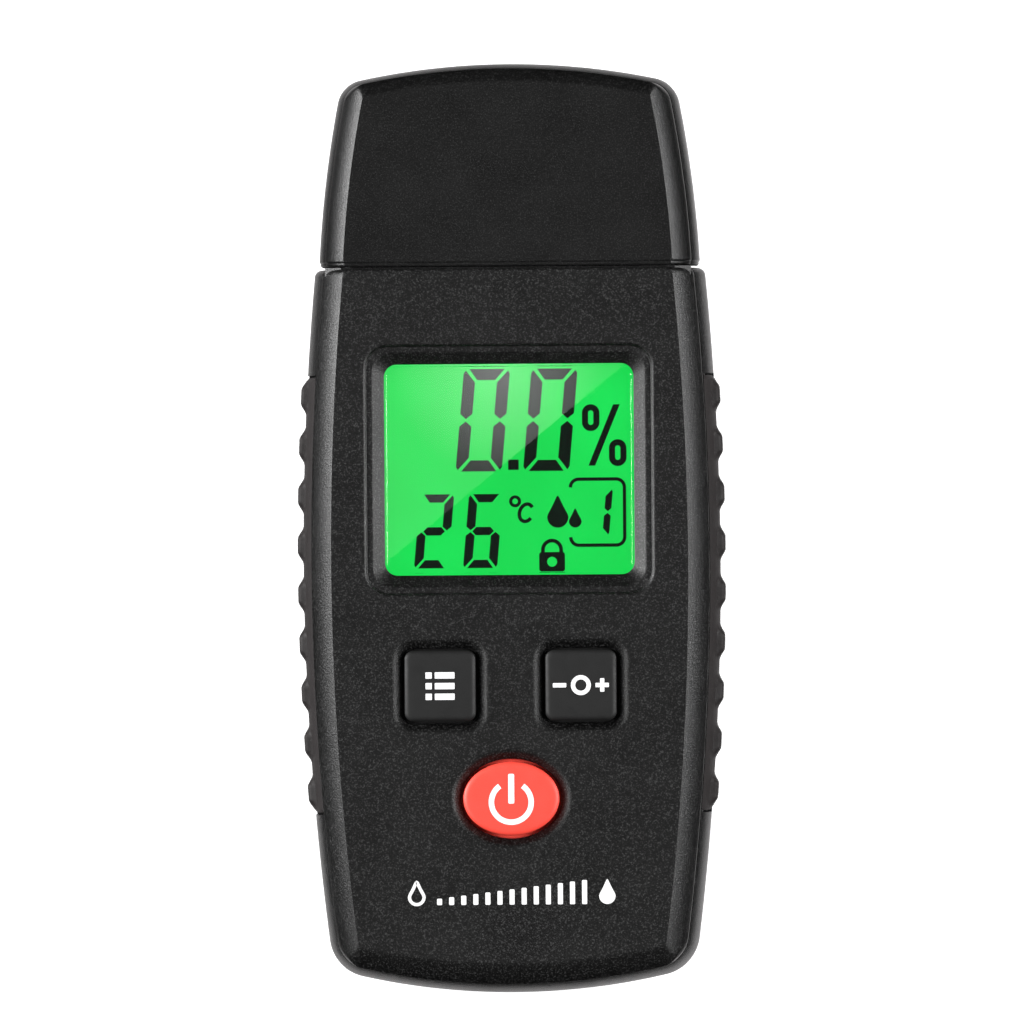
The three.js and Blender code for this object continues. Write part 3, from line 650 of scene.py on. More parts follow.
def head_half(low_z, high_z, round_top):
    """One half of the head that the cap slides over, rounded along its outer edges."""
    edge = 1.5
    end_round = 0.6

    def section(y, inwards=0.0):
        x = side_x(CAP_PLAN, y, HEAD_INSET + inwards)
        if round_top:
            top = high_z - inwards
            corner = arc(x - edge, top - edge, edge, 0, math.pi / 2, 6, 1)
            right = [(x, low_z), (x, top - edge)] + corner + [(x - edge, top)]
        else:
            foot = low_z + inwards
            corner = arc(x - edge, foot + edge, edge, -math.pi / 2, 0, 6)
            right = corner + [(x, foot + edge), (x, high_z)]
        return mirrored_ring(right, y)

    first, last = BODY_END_Y - 2, HEAD_END_Y - end_round
    rings = [section(first + (last - first) * i / 6) for i in range(7)]
    for i in range(1, 5):
        angle = math.pi / 2 * i / 4
        rings.append(section(last + end_round * math.sin(angle), end_round * (1 - math.cos(angle))))
    builder = Builder()
    builder.solid(rings)
    return builder


def collar():
    """The dark collar between the body's end and the cap's mouth, above the parting line."""
    low_z, high_z, slope = PARTING_Z + SHELL_JOINT, 26.4, 2.2
    rings = []
    for y in (BODY_END_Y - 1, BODY_END_Y + 0.2):
        x = side_x(CAP_PLAN, y, 1.1)
        rings.append(mirrored_ring([(x, low_z), (x, high_z - slope), (x - slope, high_z)], y))
    builder = Builder()
    builder.solid(rings)
    return builder


def front_shell():
    foot_z = PARTING_Z + SHELL_JOINT
    stations = crown_stations(BODY_CROWN, foot_z, BODY_CORNER - BODY_CROWN["side"], 0.28, 1.0)
    builder = Builder()
    outer = builder.loft([shell_ring(BODY_PLAN, station) for station in stations])
    holes = [
        cut_walls(builder, lambda out: rounded_loop(WINDOW, out, 10, 0.55), WINDOW_PROFILE),
        cut_walls(builder, lambda out: rounded_loop(MODE_HOLE, out), DISH_PROFILE),
        cut_walls(builder, lambda out: rounded_loop(SET_HOLE, out), DISH_PROFILE),
        cut_walls(builder, lambda out: oval_loop(POWER_HOLE, out), DISH_PROFILE),
    ]
    builder.fill(outer[-1], *[top for top, _ in holes])
    window_pad = builder.loft([at_height(rounded_loop(WINDOW, 2.75, 10, 0.55), CEILING_Z - depth)
                               for depth in (0.6, 0.01)])
    builder.bridge(holes[0][1], window_pad[0])
    inner_levels = [(foot_z, 0), (CEILING_Z - 1.5, 0), (CEILING_Z - 0.01, 1.5)]
    inner = builder.loft([
        shell_ring(BODY_PLAN, ((4.4 + d, z), (4.4 + d, z), (2 + d, z), 5.6 - d, 2.5))
        for z, d in inner_levels
    ])
    builder.bridge(outer[0], inner[0])
    builder.fill(inner[-1], window_pad[-1], *[bottom for _, bottom in holes[1:]])
    builder.join(head_half(foot_z, HEAD_FRONT_Z, True))
    builder.join(collar())
    finish_piece(builder.object("front_shell_moulding"), "case", "case", "front_shell")


# ---- rear shell and battery door

SCREW_SPOTS = [cad_middle(f"case_screw_{i}")[:2] for i in range(1, 5)]
LABEL = dict(x=0, y=82, width=36, height=24, radius=2)
DOOR_HALF = 16.5
DOOR_END_Y = 62.0
DOOR_DEPTH = 2.0
TRAY = dict(half=16.5, low=9.5, high=61.0, ceiling=13.2)
REAR_FLOOR_Z = 2.0


def tub_loft(builder, wall, floor_z):
    """The body's hollow lower half, open at the parting plane, with its flat back unfilled."""
    stations = tub_stations(0, BODY_RIM, BODY_CORNER, 1.0)
    outer = builder.loft([shell_ring(BODY_PLAN, station) for station in stations])
    inner = builder.loft([
        shell_ring(BODY_PLAN, ((wall, z), (wall, z), (2, z), BODY_CORNER - wall, 1.5))
        for z in (PARTING_Z, floor_z)
    ])
    builder.bridge(outer[-1], inner[0])
    return outer[0], inner[-1]


def rear_shell_blank():
    builder = Builder()
    back, floor = tub_loft(builder, 2.6, REAR_FLOOR_Z)
    screw_holes = []
    for x, y in SCREW_SPOTS:
        circle = dict(x=x, y=y, width=4.8, height=4.8)
        levels = ((0.5, 0), (0.25, 0), (0.07, 0.06), (0, 0.25), (0, REAR_FLOOR_Z))
        rings = builder.loft(stacked(lambda out: oval_loop(circle, out, 32), levels))
        screw_holes.append((rings[0], rings[-1]))
    levels = ((0.5, 0), (0.2, 0), (0.05, 0.05), (0, 0.15), (0, 0.4))
    label = builder.loft(stacked(lambda out: rounded_loop(LABEL, out, 6), levels))
    builder.fill(label[-1])
    builder.fill(back, label[0], *[ring for ring, _ in screw_holes])
    builder.fill(floor, *[ring for _, ring in screw_holes])
    return builder


def grip_band(inset_low, inset_high, y0, y1, z0, z1):
    """Closed bands that follow both side walls, between two insets."""
    builder = Builder()
    ys = [y0 + (y1 - y0) * i / 40 for i in range(41)]
    for mirror in (1, -1):
        lines = [[(mirror * side_x(BODY_PLAN, y, inset), y) for y in ys]
                 for inset in (inset_low, inset_high)]
        builder.band(*lines, z0, z1)
    return builder


def tray_walls():
    """The battery tray above the doorway: four walls and a ceiling."""
    builder = Builder()
    half, low, high = TRAY["half"], TRAY["low"], TRAY["high"]
    inner = [(-half, low), (half, low), (half, high), (-half, high)]
    outer = [(-half - 2, low - 1.4), (half + 2, low - 1.4), (half + 2, high + 1.4),
             (-half - 2, high + 1.4)]
    rings = builder.loft([
        at_height(inner, TRAY["ceiling"]), at_height(inner, 1.9), at_height(outer, 1.9),
        at_height(outer, TRAY["ceiling"] + 1.2),
    ])
    builder.face(rings[0])
    builder.face(rings[-1])
    return builder


def rear_shell():
    shell = rear_shell_blank().object("rear_shell_moulding")
    half, end_y, top_z = DOOR_HALF + GAP, DOOR_END_Y + GAP, DOOR_DEPTH + GAP
    cut(shell, box_builder(-half, half, -5, end_y, -1, top_z).object("doorway"))
    cut(shell, box_builder(-18, 18, -5, end_y, 0.8, top_z).object("grooves"))
    pocket_ends = (GRIP_ENDS[0] - GAP, GRIP_ENDS[1] + GAP)
    pockets = grip_band(1.25, -3, *pocket_ends, GRIP_FOOT_Z - GAP, PARTING_Z + 1)
    cut(shell, pockets.object("grip_pockets"))
    extras = Builder()
    extras.join(tray_walls())
    extras.join(head_half(HEAD_BACK_Z, PARTING_Z, False))
    for x, y in SCREW_SPOTS:
        tower = turned([(2.4, 1.5), (3.6, 1.5), (3.6, 8), (1.4, 8), (1.4, 6), (2.4, 6)], 32)
        bmesh.ops.translate(tower.bm, verts=tower.bm.verts, vec=(x, y, 0))
        extras.join(tower)
    join_objects(shell, extras.object("rear_shell_inner"))
    finish_piece(shell, "case", "case", "rear_shell")


def battery_door():
    builder = Builder()
    back, floor = tub_loft(builder, 4, DOOR_DEPTH)
    builder.fill(back)
    builder.fill(floor)
    panel = builder.object("battery_door_panel")
    edge = 0.35
    corners = ((-1, -5), (1, -5), (1, DOOR_END_Y), (-1, DOOR_END_Y))
    keep = Builder()
    keep.solid(stacked(
        lambda out: [(x * (DOOR_HALF + out), y + (out if y > 0 else 0)) for x, y in corners],
        ((-edge, -0.02), (-0.1, 0.1), (0, edge), (0, DOOR_DEPTH))))
    cut(panel, keep.object("door_outline"), "INTERSECT")
    ridges = Builder()
    for i in range(5):
        ridge = dict(x=0, y=50 + 2 * i, width=14 - 1.2 * i, height=1, radius=0.49)
        levels = ((0.15, -0.1), (0.05, 0.05), (0, 0.2), (-0.2, 0.5))
        ridges.solid(stacked(lambda out: rounded_loop(ridge, out, 5), levels))
    cut(panel, ridges.object("thumb_ridges"))
    rails = Builder()
    for side in (-1, 1):
        x0, x1 = sorted((side * (DOOR_HALF - 0.5), side * 17.7))
        rails.join(box_builder(x0, x1, 3.4, DOOR_END_Y - 0.4, 1.1, DOOR_DEPTH))
    join_objects(panel, rails.object("door_rails"))
    finish_piece(panel, "battery_door", "case", "battery_door")


# ---- cap

MOUTH_BAND = 0.5
MOUTH_STEP = 0.17
CAP_SHOULDER = 0.35


def cap_blank(shrink, mouth_y):
    """One loft from the back face round the rim, into the parting groove and up the crown. shrink
    makes it smaller all round."""
    plan = dict(CAP_PLAN, open_y=mouth_y, half_width=CAP_PLAN["half_width"] - shrink,
                end_y=CAP_PLAN["end_y"] - shrink)
    form = dict(CAP_CROWN, top_z=CAP_CROWN["top_z"] - shrink)
    groove_z = PARTING_Z + 0.06
    stations = tub_stations(CAP_BACK_Z + shrink, CAP_RIM, CAP_CORNER, CAP_SHOULDER)
    for z in (PARTING_Z, groove_z):
        stations.append(((1.5, z), (1.3, z), (0, z), CAP_CORNER - 1.5, CAP_SHOULDER))
    stations += crown_stations(form, groove_z, CAP_CORNER - form["side"], 0.2, CAP_SHOULDER)
    builder = Builder()
    outer = builder.loft([shell_ring(plan, station) for station in stations])
    builder.fill(outer[0])
    builder.fill(outer[-1])
    return builder


def pin_cap():
    """The cap, with a slightly smaller band round its mouth."""
    cap = cap_blank(0, CAP_MOUTH_Y + MOUTH_BAND).object("pin_cap_moulding")
    cut(cap, cap_blank(MOUTH_STEP, CAP_MOUTH_Y).object("mouth_band"), "UNION")
    hollow_plan = dict(CAP_PLAN, end_y=129.4, open_y=CAP_MOUTH_Y - 8)
    hollow = Builder()
    levels = [(2, 1.5), (3.5, 0), (23.9, 0), (25.4, 1.5)]
    rings = hollow.loft([
        shell_ring(hollow_plan, ((3.1 + d, z), (3.1 + d, z), (0, z), 6.9 - d, 0.5)) for z, d in levels
    ])
    hollow.fill(rings[0])
    hollow.fill(rings[-1])
    cut(cap, hollow.object("cap_hollow"))
    finish_piece(cap, "cap", "cap", "pin_cap")


# ---- grips

RIB_COUNT = 9
RIB_FIRST_Y = 28.3
RIB_PITCH = 7.0
RIB_PROUD = 0.75
RIB_VALLEY = 0.12


def smoothstep(low, high, value):
    t = min(max((value - low) / (high - low), 0), 1)
    return t * t * (3 - 2 * t)


def rib_crest(y):
    """1 on the crest of a rib and 0 in the valleys between them."""
    nearest = round((y - RIB_FIRST_Y) / RIB_PITCH)
    nearest = min(max(nearest, 0), RIB_COUNT - 1)
    away = abs(y - RIB_FIRST_Y - nearest * RIB_PITCH)
    return 1 - smoothstep(0.85, 2.75, away)


def grip_sections():
    """The strip's cross-section in a valley and on a rib, as lists of (inset, height) that match
    point by point. Both follow the wall and the rim, and the rib is a ledge below the rim."""
    rim = rim_arc(BODY_RIM["side"])
    low_z, wall_z = GRIP_FOOT_Z, rim[0][1]
    foot = [(0.75, low_z), (0.3, low_z), (0.08, low_z + 0.12), (0, low_z + 0.4)]
    risers = [low_z + 0.9, low_z + 1.5, low_z + 3.3, low_z + 5.1]
    ledge = [(0, wall_z), (0, wall_z + 2.1), (0, wall_z + 3.4), (0.07, wall_z + 3.76),
             (0.25, wall_z + 4.0), (0.5, wall_z + 4.1), (0.8, wall_z + 4.18), (1.1, wall_z + 4.3)]
    inner = [(1.24, PARTING_Z - 0.6)]
    valley = foot + [(RIB_VALLEY, z) for z in risers] + rim + inner
    ridge_foot = [(0.75, low_z), (0.2, low_z), (-0.3, low_z + 0.2), (-0.62, low_z + 0.5)]
    ridge = ridge_foot + [(-RIB_PROUD, z) for z in risers]
    ridge += [(inset - RIB_PROUD, z) for inset, z in ledge] + rim[len(ledge):] + inner
    return valley, ridge


def grip(side):
    """A rubber strip that wraps the side wall and the rim, with ribs across it."""
    low_y, high_y = GRIP_ENDS
    valley, ridge = grip_sections()
    steps = 420
    rows = []
    for k in range(steps + 1):
        y = low_y + (high_y - low_y) * k / steps
        crest = rib_crest(y)
        round_off = 0.2 * max(0, 1 - min(k, steps - k) / 3)
        row = []
        for (inset_a, z_a), (inset_b, z_b) in zip(valley, ridge):
            inset = inset_a + (inset_b - inset_a) * crest + round_off
            row.append((side * side_x(BODY_PLAN, y, inset), y, z_a + (z_b - z_a) * crest))
        rows.append(row)
    builder = Builder()
    builder.solid(rows)
    name = "right_grip" if side > 0 else "left_grip"
    finish_piece(builder.object(f"{name}_moulding", 40), "case", "grip", name)


# ---- keys and their prints

PRINT_LIFT = 0.012
PRINT_THICKNESS = 0.03
# (distance outside the key's outline, depth below its top)
KEY_PROFILE = [(-1.6, 0), (-0.75, 0.012), (-0.5, 0.04), (-0.32, 0.1), (-0.16, 0.2), (-0.05, 0.34),
               (0, 0.52), (0, 3.0), (0.7, 3.0), (0.7, 3.9)]


def key(name, slot, make_loop):
    builder = Builder()
    builder.solid(stacked(make_loop, [(out, KEY_TOP_Z - depth) for out, depth in KEY_PROFILE]))
    x, y, _ = cad_middle(name)
    low_z, high_z = cad_box(name)[0][2], KEY_TOP_Z - 3.8
    stem = turned([(0, low_z), (3.2, low_z), (3.4, low_z + 0.2), (3.4, high_z), (0, high_z)])
    bmesh.ops.translate(stem.bm, verts=stem.bm.verts, vec=(x, y, 0))
    builder.join(stem)
    finish_piece(builder.object(f"{name}_moulding"), name, slot, name)


def square_key(name, hole):
    shape = dict(hole, width=10.0, height=9.9, radius=1.2)
    key(name, "key_rubber", lambda out: rounded_loop(shape, out, 8, 0.6))


def power_key():
    shape = dict(POWER_HOLE, width=13.5, height=10.35)
    key("power_key", "power_key", lambda out: oval_loop(shape, out))


def stroke(points, width, closed=False):
    """The two edges of a line of even width through the points."""
    left, right = [], []
    count = len(points)
    for i, (x, y) in enumerate(points):
        before = points[(i - 1) % count] if closed or i else points[i]
        after = points[(i + 1) % count] if closed or i < count - 1 else points[i]
        d_in = Vector((x - before[0], y - before[1]))
        d_out = Vector((after[0] - x, after[1] - y))
        d_in = (d_in if d_in.length else d_out).normalized()
        d_out = (d_out if d_out.length else d_in).normalized()
        tangent = (d_in + d_out).normalized()
        reach = width / 2 / max(tangent.dot(d_in), 0.4)
        left.append((x - tangent.y * reach, y + tangent.x * reach))
        right.append((x + tangent.y * reach, y - tangent.x * reach))
    return left, right


class Print:
    """Flat ink on a surface: strokes and filled outlines of one thickness."""

    def __init__(self, z):
        self.builder = Builder()
        self.z = z + PRINT_LIFT

    def line(self, points, width, closed=False):
        left, right = stroke(points, width, closed)
        self.builder.band(left, right, self.z, self.z + PRINT_THICKNESS, closed)

    def patch(self, loop):
        self.builder.prism(loop, self.z, self.z + PRINT_THICKNESS)

    def holed(self, outer, inner):
        """A filled outline with a hole through it."""
        sides = []
        for loop in (outer, inner):
            low = self.builder.ring(at_height(loop, self.z))
            high = self.builder.ring(at_height(loop, self.z + PRINT_THICKNESS))
            self.builder.bridge(low, high)
            sides.append((low, high))
        for rings in zip(*sides):
            self.builder.fill(*rings)

    def circle(self, x, y, radius, width=None, start=0.0, end=2 * math.pi, steps=48):
        whole = end - start >= 2 * math.pi - 1e-6
        angles = [start + (end - start) * i / steps for i in range(steps + (0 if whole else 1))]
        points = [(x + radius * math.cos(a), y + radius * math.sin(a)) for a in angles]
        if width is None:
            self.patch(points)
        else:
            self.line(points, width, closed=whole)

    def rectangle(self, x, y, width, height, radius=0.05):
        self.patch(rounded_loop(dict(x=x, y=y, width=width, height=height, radius=radius), 0, 4))

    def droplet(self, x, y, height, width=None):
        loop = droplet_loop(x, y, height)
        if width is None:
            self.patch(loop)
        else:
            self.line(loop, width, closed=True)

    def object(self, name, body, slot, material=WHITE_PRINT):
        finish_piece(self.builder.object(name), body, slot, material=material)


def droplet_loop(x, y, height):
    """A drop whose foot is at y: a round belly, drawn up to a point."""
    radius = height * 0.33
    belly = y + radius
    loop = []
    for i in range(40):
        a = -math.pi / 2 + 2 * math.pi * i / 40
        px, py = radius * math.cos(a), radius * math.sin(a)
        lift = max(0, math.sin(a))
        loop.append((x + px * (1 - 0.55 * lift ** 2) if lift else x + px,
                     belly + py + (height - 2 * radius) * lift ** 3))
    return loop


def power_print():
    """The standard standby symbol: a broken ring with an upright bar."""
    ink = Print(KEY_TOP_Z)
    y = POWER_Y - 0.5
    opening = math.radians(35)
    ink.circle(0, y, 2.8, 0.78, math.pi / 2 + opening, math.pi * 2.5 - opening, 56)
    ink.rectangle(0, y + 1.9, 0.86, 4.2, 0.2)
    ink.object("power_print", "power_key", "power_key")


def mode_print():
    """A three-line list, for choosing a mode."""
    ink = Print(KEY_TOP_Z)
    for row in (-1, 0, 1):
        y = KEY_Y + 1.5 * row
        ink.rectangle(-KEY_SPAN - 1.6, y, 0.9, 0.9, 0.1)
        ink.rectangle(-KEY_SPAN + 0.65, y, 2.8, 0.9, 0.1)
    ink.object("mode_print", "mode_key", "key_rubber")


def set_print():
    """Minus, ring and plus, for setting a value."""
    ink = Print(KEY_TOP_Z)
    weight = 0.62
    ink.circle(KEY_SPAN, KEY_Y, 1.1, weight)
    for side in (-1, 1):
        ink.rectangle(KEY_SPAN + 3 * side, KEY_Y, 1.9, weight, 0.1)
        ink.rectangle(KEY_SPAN + 3, KEY_Y + 0.63 * side, weight, 0.64, 0.1)
    ink.object("set_print", "set_key", "key_rubber")


def scale_print():
    """A dry-to-wet scale under the keys: an open drop, growing bars and a filled drop."""
    ink = Print(FRONT_Z)
    foot = 12.6
    ink.droplet(-13.4, foot + 0.1, 3.1, 0.45)
    bars = 13
    for i in range(bars):
        share = i / (bars - 1)
        height = 0.9 + 2.5 * share
        ink.rectangle(-10.2 + 20.4 * share, foot + height / 2, 0.72, height, 0.15)
    ink.droplet(13.4, foot, 3.5)
    ink.object("scale_print", "case", "case")


# ---- display

SEGMENTS = {"0": "abcdef", "1": "bc", "2": "abged", "6": "acdefg"}
DIGIT_LEAN = 0.09


def segment_outlines(width, height, upright, level, gap):
    """The seven segments of an upright digit, by letter. Upright bars are pointed at the middle
    and mitred at the corners; upright and level are the bars' thicknesses."""
    half = height / 2
    point = 0.42 * upright
    bar = [(0, height - 0.4 * upright), (0.16 * upright, height - 0.12 * upright),
           (upright, height - level - gap), (upright, half + gap / 2 + point),
           (upright / 2, half + gap / 2), (0, half + gap / 2 + point)]
    cross = [(0.25 * upright + gap, height), (width - 0.25 * upright - gap, height),
             (width - upright - 0.8 * gap, height - level), (upright + 0.8 * gap, height - level)]
    low, high = half - level / 2, half + level / 2
    inner = upright + 0.6 * gap
    middle = [(upright / 2 + gap, half), (inner, high), (width - inner, high),
              (width - upright / 2 - gap, half), (width - inner, low), (inner, low)]

    def mirrored(loop, in_x, in_y):
        return [(width - x if in_x else x, height - y if in_y else y) for x, y in loop]

    return {"a": cross, "b": mirrored(bar, True, False), "c": mirrored(bar, True, True),
            "d": mirrored(cross, False, True), "e": mirrored(bar, False, True), "f": bar, "g": middle}


def seven_segment(ink, digit, corner, size, bars, gap):
    """One slanted digit of separate segments. corner is its lower left corner."""
    x, y = corner
    outlines = segment_outlines(*size, *bars, gap)
    for name in SEGMENTS[digit]:
        ink.patch([(x + px + DIGIT_LEAN * py, y + py) for px, py in outlines[name]])


def display_ground():
    low, high = cad_box("display_glass")
    size = dict(x=0, y=(low[1] + high[1]) / 2, width=high[0] - low[0], height=high[1] - low[1],
                radius=0.3)
    levels = ((-0.1, low[2]), (0, low[2] + 0.1), (0, high[2] - 0.1), (-0.1, high[2]))
    builder = Builder()
    builder.solid(stacked(lambda out: rounded_loop(size, out, 4), levels))
    finish_piece(builder.object("display_cell"), "case", "display", "display_glass")


def window_spot(x, y):
    """A place in the display, measured from the window's lower left corner."""
    return WINDOW["x"] - WINDOW["width"] / 2 + x, WINDOW["y"] - WINDOW["height"] / 2 + y


def display_segments():
    """What the display shows."""
    ink = Print(cad_box("display_glass")[1][2])
    for x in (9.95, 19.45):
        seven_segment(ink, "0", window_spot(x, 14.6), (6.5, 14.4), (1.7, 1.55), 0.36)
    ink.rectangle(*window_spot(18.1, 15.5), 1.48, 1.44, 0.08)
    for digit, x in (("2", 4.0), ("6", 10.9)):
        seven_segment(ink, digit, window_spot(x, 1.0), (4.8, 10.4), (1.25, 1.15), 0.26)
    seven_segment(ink, "1", window_spot(30.55, 5.5), (0.95, 6.5), (0.95, 0.75), 0.26)
    percent(ink, 30.9, 19.6)
    degree(ink, 18.3, 10.35)
    mode_droplets(ink, 24.3, 6.6)
    bracket(ink, 26.1, 13.4, 33.7, 4.1)
    padlock(ink, 23.45, 0.45)
    ink.object("display_segments", "case", "display", SEGMENT_INK)


def percent(ink, x, y):
    """Two upright rings and a slanting bar with level ends."""
    low, high, half = window_spot(x - 1.76, y - 4.3), window_spot(x + 1.76, y + 4.3), 0.47
    ink.patch([(low[0] - half, low[1]), (low[0] + half, low[1]),
               (high[0] + half, high[1]), (high[0] - half, high[1])])
    for dx, dy in ((-1.87, 2.45), (1.9, -2.5)):
        cx, cy = window_spot(x + dx, y + dy)
        ring = rounded_loop(dict(x=cx, y=cy, width=1.6, height=2.9, radius=0.78), 0, 8)
        ink.line(ring, 0.86, closed=True)


def degree(ink, x, y):
    """A small ring and a slanted C, for degrees Celsius."""
    ink.circle(*window_spot(x, y), 0.62, 0.44)
    cx, cy = window_spot(x + 1.55, y - 1.62)
    angles = [math.radians(38 + 284 * i / 32) for i in range(33)]
    ink.line([(cx + 0.95 * math.cos(a) + 0.18 * math.sin(a), cy + 1.22 * math.sin(a))
              for a in angles], 0.5)


def mode_droplets(ink, x, y):
    """A large and a small drop, for the moisture mode."""
    ink.droplet(*window_spot(x, y), 4.5)
    ink.droplet(*window_spot(x + 2.45, y), 2.7)


def bracket(ink, x0, y0, x1, y1):
    """A frame open on its left, with round corners, between two opposite corners."""
    r = 1.15
    corners = ((x0 + r, y0 - r, 180), (x1 - r, y0 - r, 90),
               (x1 - r, y1 + r, 0), (x0 + r, y1 + r, -90))
    points = []
    for cx, cy, start in corners:
        centre = window_spot(cx, cy)
        angles = [math.radians(start - 90 * i / 8) for i in range(9)]
        points += [(centre[0] + r * math.cos(a), centre[1] + r * math.sin(a)) for a in angles]
    ink.line(points, 0.47)


def padlock(ink, x, y):
    """A closed padlock whose foot is at y, with a round keyhole."""
    cx, foot = window_spot(x, y)
    body = dict(x=cx, y=foot + 1.36, width=3.63, height=2.72, radius=0.35)
    keyhole = dict(body, width=1.4, height=1.4)
    ink.holed(rounded_loop(body, 0, 6), oval_loop(keyhole, 0, 32))
    shoulder, reach = foot + 3.05, 1.28
    ink.line([(cx - reach, foot + 2.7)] + arc(cx, shoulder, reach, math.pi, 0, 24)
             + [(cx + reach, shoulder), (cx + reach, foot + 2.7)], 0.52)


def window_pane():
    """The clear window: a flange under the shell's lip and a block that fills the opening."""
    low, high = cad_box("display_window")
    flange = dict(x=0, y=WINDOW["y"], width=38, height=32.6, radius=2)
    block = dict(WINDOW, width=WINDOW["width"] - 2 * GAP, height=WINDOW["height"] - 2 * GAP,
                 radius=1.5)
    step_z, top_z = 24.7, high[2]
    rings = stacked(lambda out: rounded_loop(flange, out, 10),
                    ((-0.05, low[2]), (0, low[2] + 0.1), (0, step_z)))
    rings += stacked(lambda out: rounded_loop(block, out, 10),
                     ((0, step_z), (0, top_z - 0.07), (-0.02, top_z - 0.02), (-0.07, top_z)))
    builder = Builder()
    builder.solid(rings)
    finish_piece(builder.object("window_pane", 15), "case", "window", "display_window")


# ---- turned and wound pieces

CELL_Z = 7.65


def placed_turning(name, node, slot, profile, along_y=True, steps=48, cross=None):
    """A turned piece of the case that replaces a CAD node. profile is (radius, distance) from the
    node's middle line, and distances are counted from its low end along Y, or its foot along Z."""
    low = cad_box(node)[0]
    middle = cad_middle(node)
    if along_y:
        place = Matrix.Translation((middle[0], low[1], middle[2]))
        place = place @ Matrix.Rotation(-math.pi / 2, 4, "X")
    else:
        place = Matrix.Translation((middle[0], middle[1], low[2]))
    obj = turned(profile, steps).object(name, place=place)
    if cross:
        cut(obj, cross(middle, low[2]))
    finish_piece(obj, "case", slot, node)


def cad_length(node, axis=1):
    low, high = cad_box(node)
    return high[axis] - low[axis]


def measuring_pins():
    for name in ("left", "right"):
        node = f"{name}_pin"
        length = cad_length(node)
        profile = [(0, 0), (0.75, 0), (0.9, 0.15), (0.9, length - 5.0), (0.84, length - 4.7),
                   (0.45, length - 2.0), (0.16, length - 0.5), (0.06, length - 0.08), (0, length)]
        placed_turning(f"{name}_needle", node, "steel", profile)


def pin_sockets():
    for name in ("left", "right"):
        node = f"{name}_pin_socket"
        length = cad_length(node)
        collar = length - 1.5
        profile = [(0, 0), (1.9, 0), (2.1, 0.2), (2.1, collar), (2.8, collar), (3.0, collar + 0.15),
                   (3.0, length - 0.25), (2.8, length), (1.35, length), (1.2, length - 0.15),
                   (1.2, length - 12.6), (0, length - 12.6)]
        placed_turning(f"{name}_socket", node, "brass", profile)


def cross_recess(middle, foot, reach=1.25, half=0.32, depth=0.9):
    """The cutter of a cross-head screw's recess: one prism with a cross for its outline."""
    outline = []
    for quarter in range(4):
        for x, y in ((reach, -half), (reach, half), (half, half)):
            for _ in range(quarter):
                x, y = -y, x
            outline.append((middle[0] + x, middle[1] + y))
    cutter = Builder()
    cutter.prism(outline, foot - 0.5, foot + depth)
    return cutter.object("cross")


def case_screws():
    for i in range(1, 5):
        node = f"case_screw_{i}"
        length = cad_length(node, axis=2)
        profile = [(0, 0), (0.9, 0.02), (1.5, 0.15), (1.9, 0.5), (2.08, 0.95), (2.1, 1.3),
                   (2.0, 1.6), (1.1, 1.6), (1.1, length - 1.1), (0, length)]
        placed_turning(f"{node}_turned", node, "screw", profile, along_y=False, cross=cross_recess)


def battery_cells():
    for i in (1, 2, 3):
        node = f"battery_cell_{i}"
        length = cad_length(node)
        outline = [(0, 0), (4.2, 0), (4.3, 0.12), (4.75, 0.12), (4.95, 0), (5.15, 0.05),
                   (5.25, 0.25), (5.25, length - 1.6), (5.15, length - 1.3), (4.9, length - 1.15),
                   (4.6, length - 1.2), (4.4, length - 1.05), (2.1, length - 1.0),
                   (1.9, length - 0.9), (1.9, length - 0.2), (1.7, length), (0, length)]
        if i == 2:
            outline = [(r, length - h) for r, h in reversed(outline)]
        placed_turning(f"{node}_can", node, "cell", outline, steps=56)


def battery_springs():
    """Conical coils, wound finer than their CAD stand-ins along the same line."""
    turns, wire = 3, 0.3
    steps, sides = 40 * turns, 10
    for i in (1, 2, 3):
        node = f"battery_spring_{i}"
        low, high = cad_box(node)
        middle_x = cad_middle(node)[0]
        foot, tip = (high[1], low[1]) if i == 2 else (low[1], high[1])
        way = 1 if tip > foot else -1
        foot, tip = foot + way * wire, tip - way * wire
        rows = []
        for k in range(steps + 1):
            turn = turns * k / steps
            radius = 4.2 - 0.6 * turn
            angle = 2 * math.pi * turn
            outward = Vector((math.cos(angle), 0, math.sin(angle)))
            centre = Vector((middle_x, foot + (tip - foot) * k / steps, CELL_Z)) + radius * outward
            rows.append([centre + wire * (math.cos(b) * outward + math.sin(b) * Vector((0, 1, 0)))
                         for b in (2 * math.pi * s / sides for s in range(sides))])
        builder = Builder()
        builder.solid(rows)
        finish_piece(builder.object(f"{node}_coil"), "case", "spring_steel", node)


# ---- studio, in metres

STAGE_REACH = 4.0
TABLE_X, TABLE_Y = 0.0358, 0.0762
TABLE_STRENGTH = 1.1
REFLECTOR_GLOW = (5.5, 1.2)  # at its brightest spot and away from it
WORLD_STRENGTH = 0.13


def area_light(name, place, size, power):
    """A rectangular light, aimed at the middle of the meter."""
    light = bpy.data.lights.new(name, "AREA")
    light.shape = "RECTANGLE"
    light.size, light.size_y = size
    light.energy = power
    obj = bpy.data.objects.new(name, light)
    obj.location = place
    towards = Vector((0, 0, 0.02)) - Vector(place)
    obj.rotation_euler = towards.to_track_quat("-Z", "Y").to_euler()
    obj.visible_camera = False
    bpy.context.collection.objects.link(obj)


def emissive(name, colour, strength):
    material, _, _, shader = node_material(name)
    set_inputs(shader, {"Base Color": (0, 0, 0, 1), "Specular IOR Level": 0.0,
                        "Emission Color": (*colour, 1), "Emission Strength": strength})
    return material


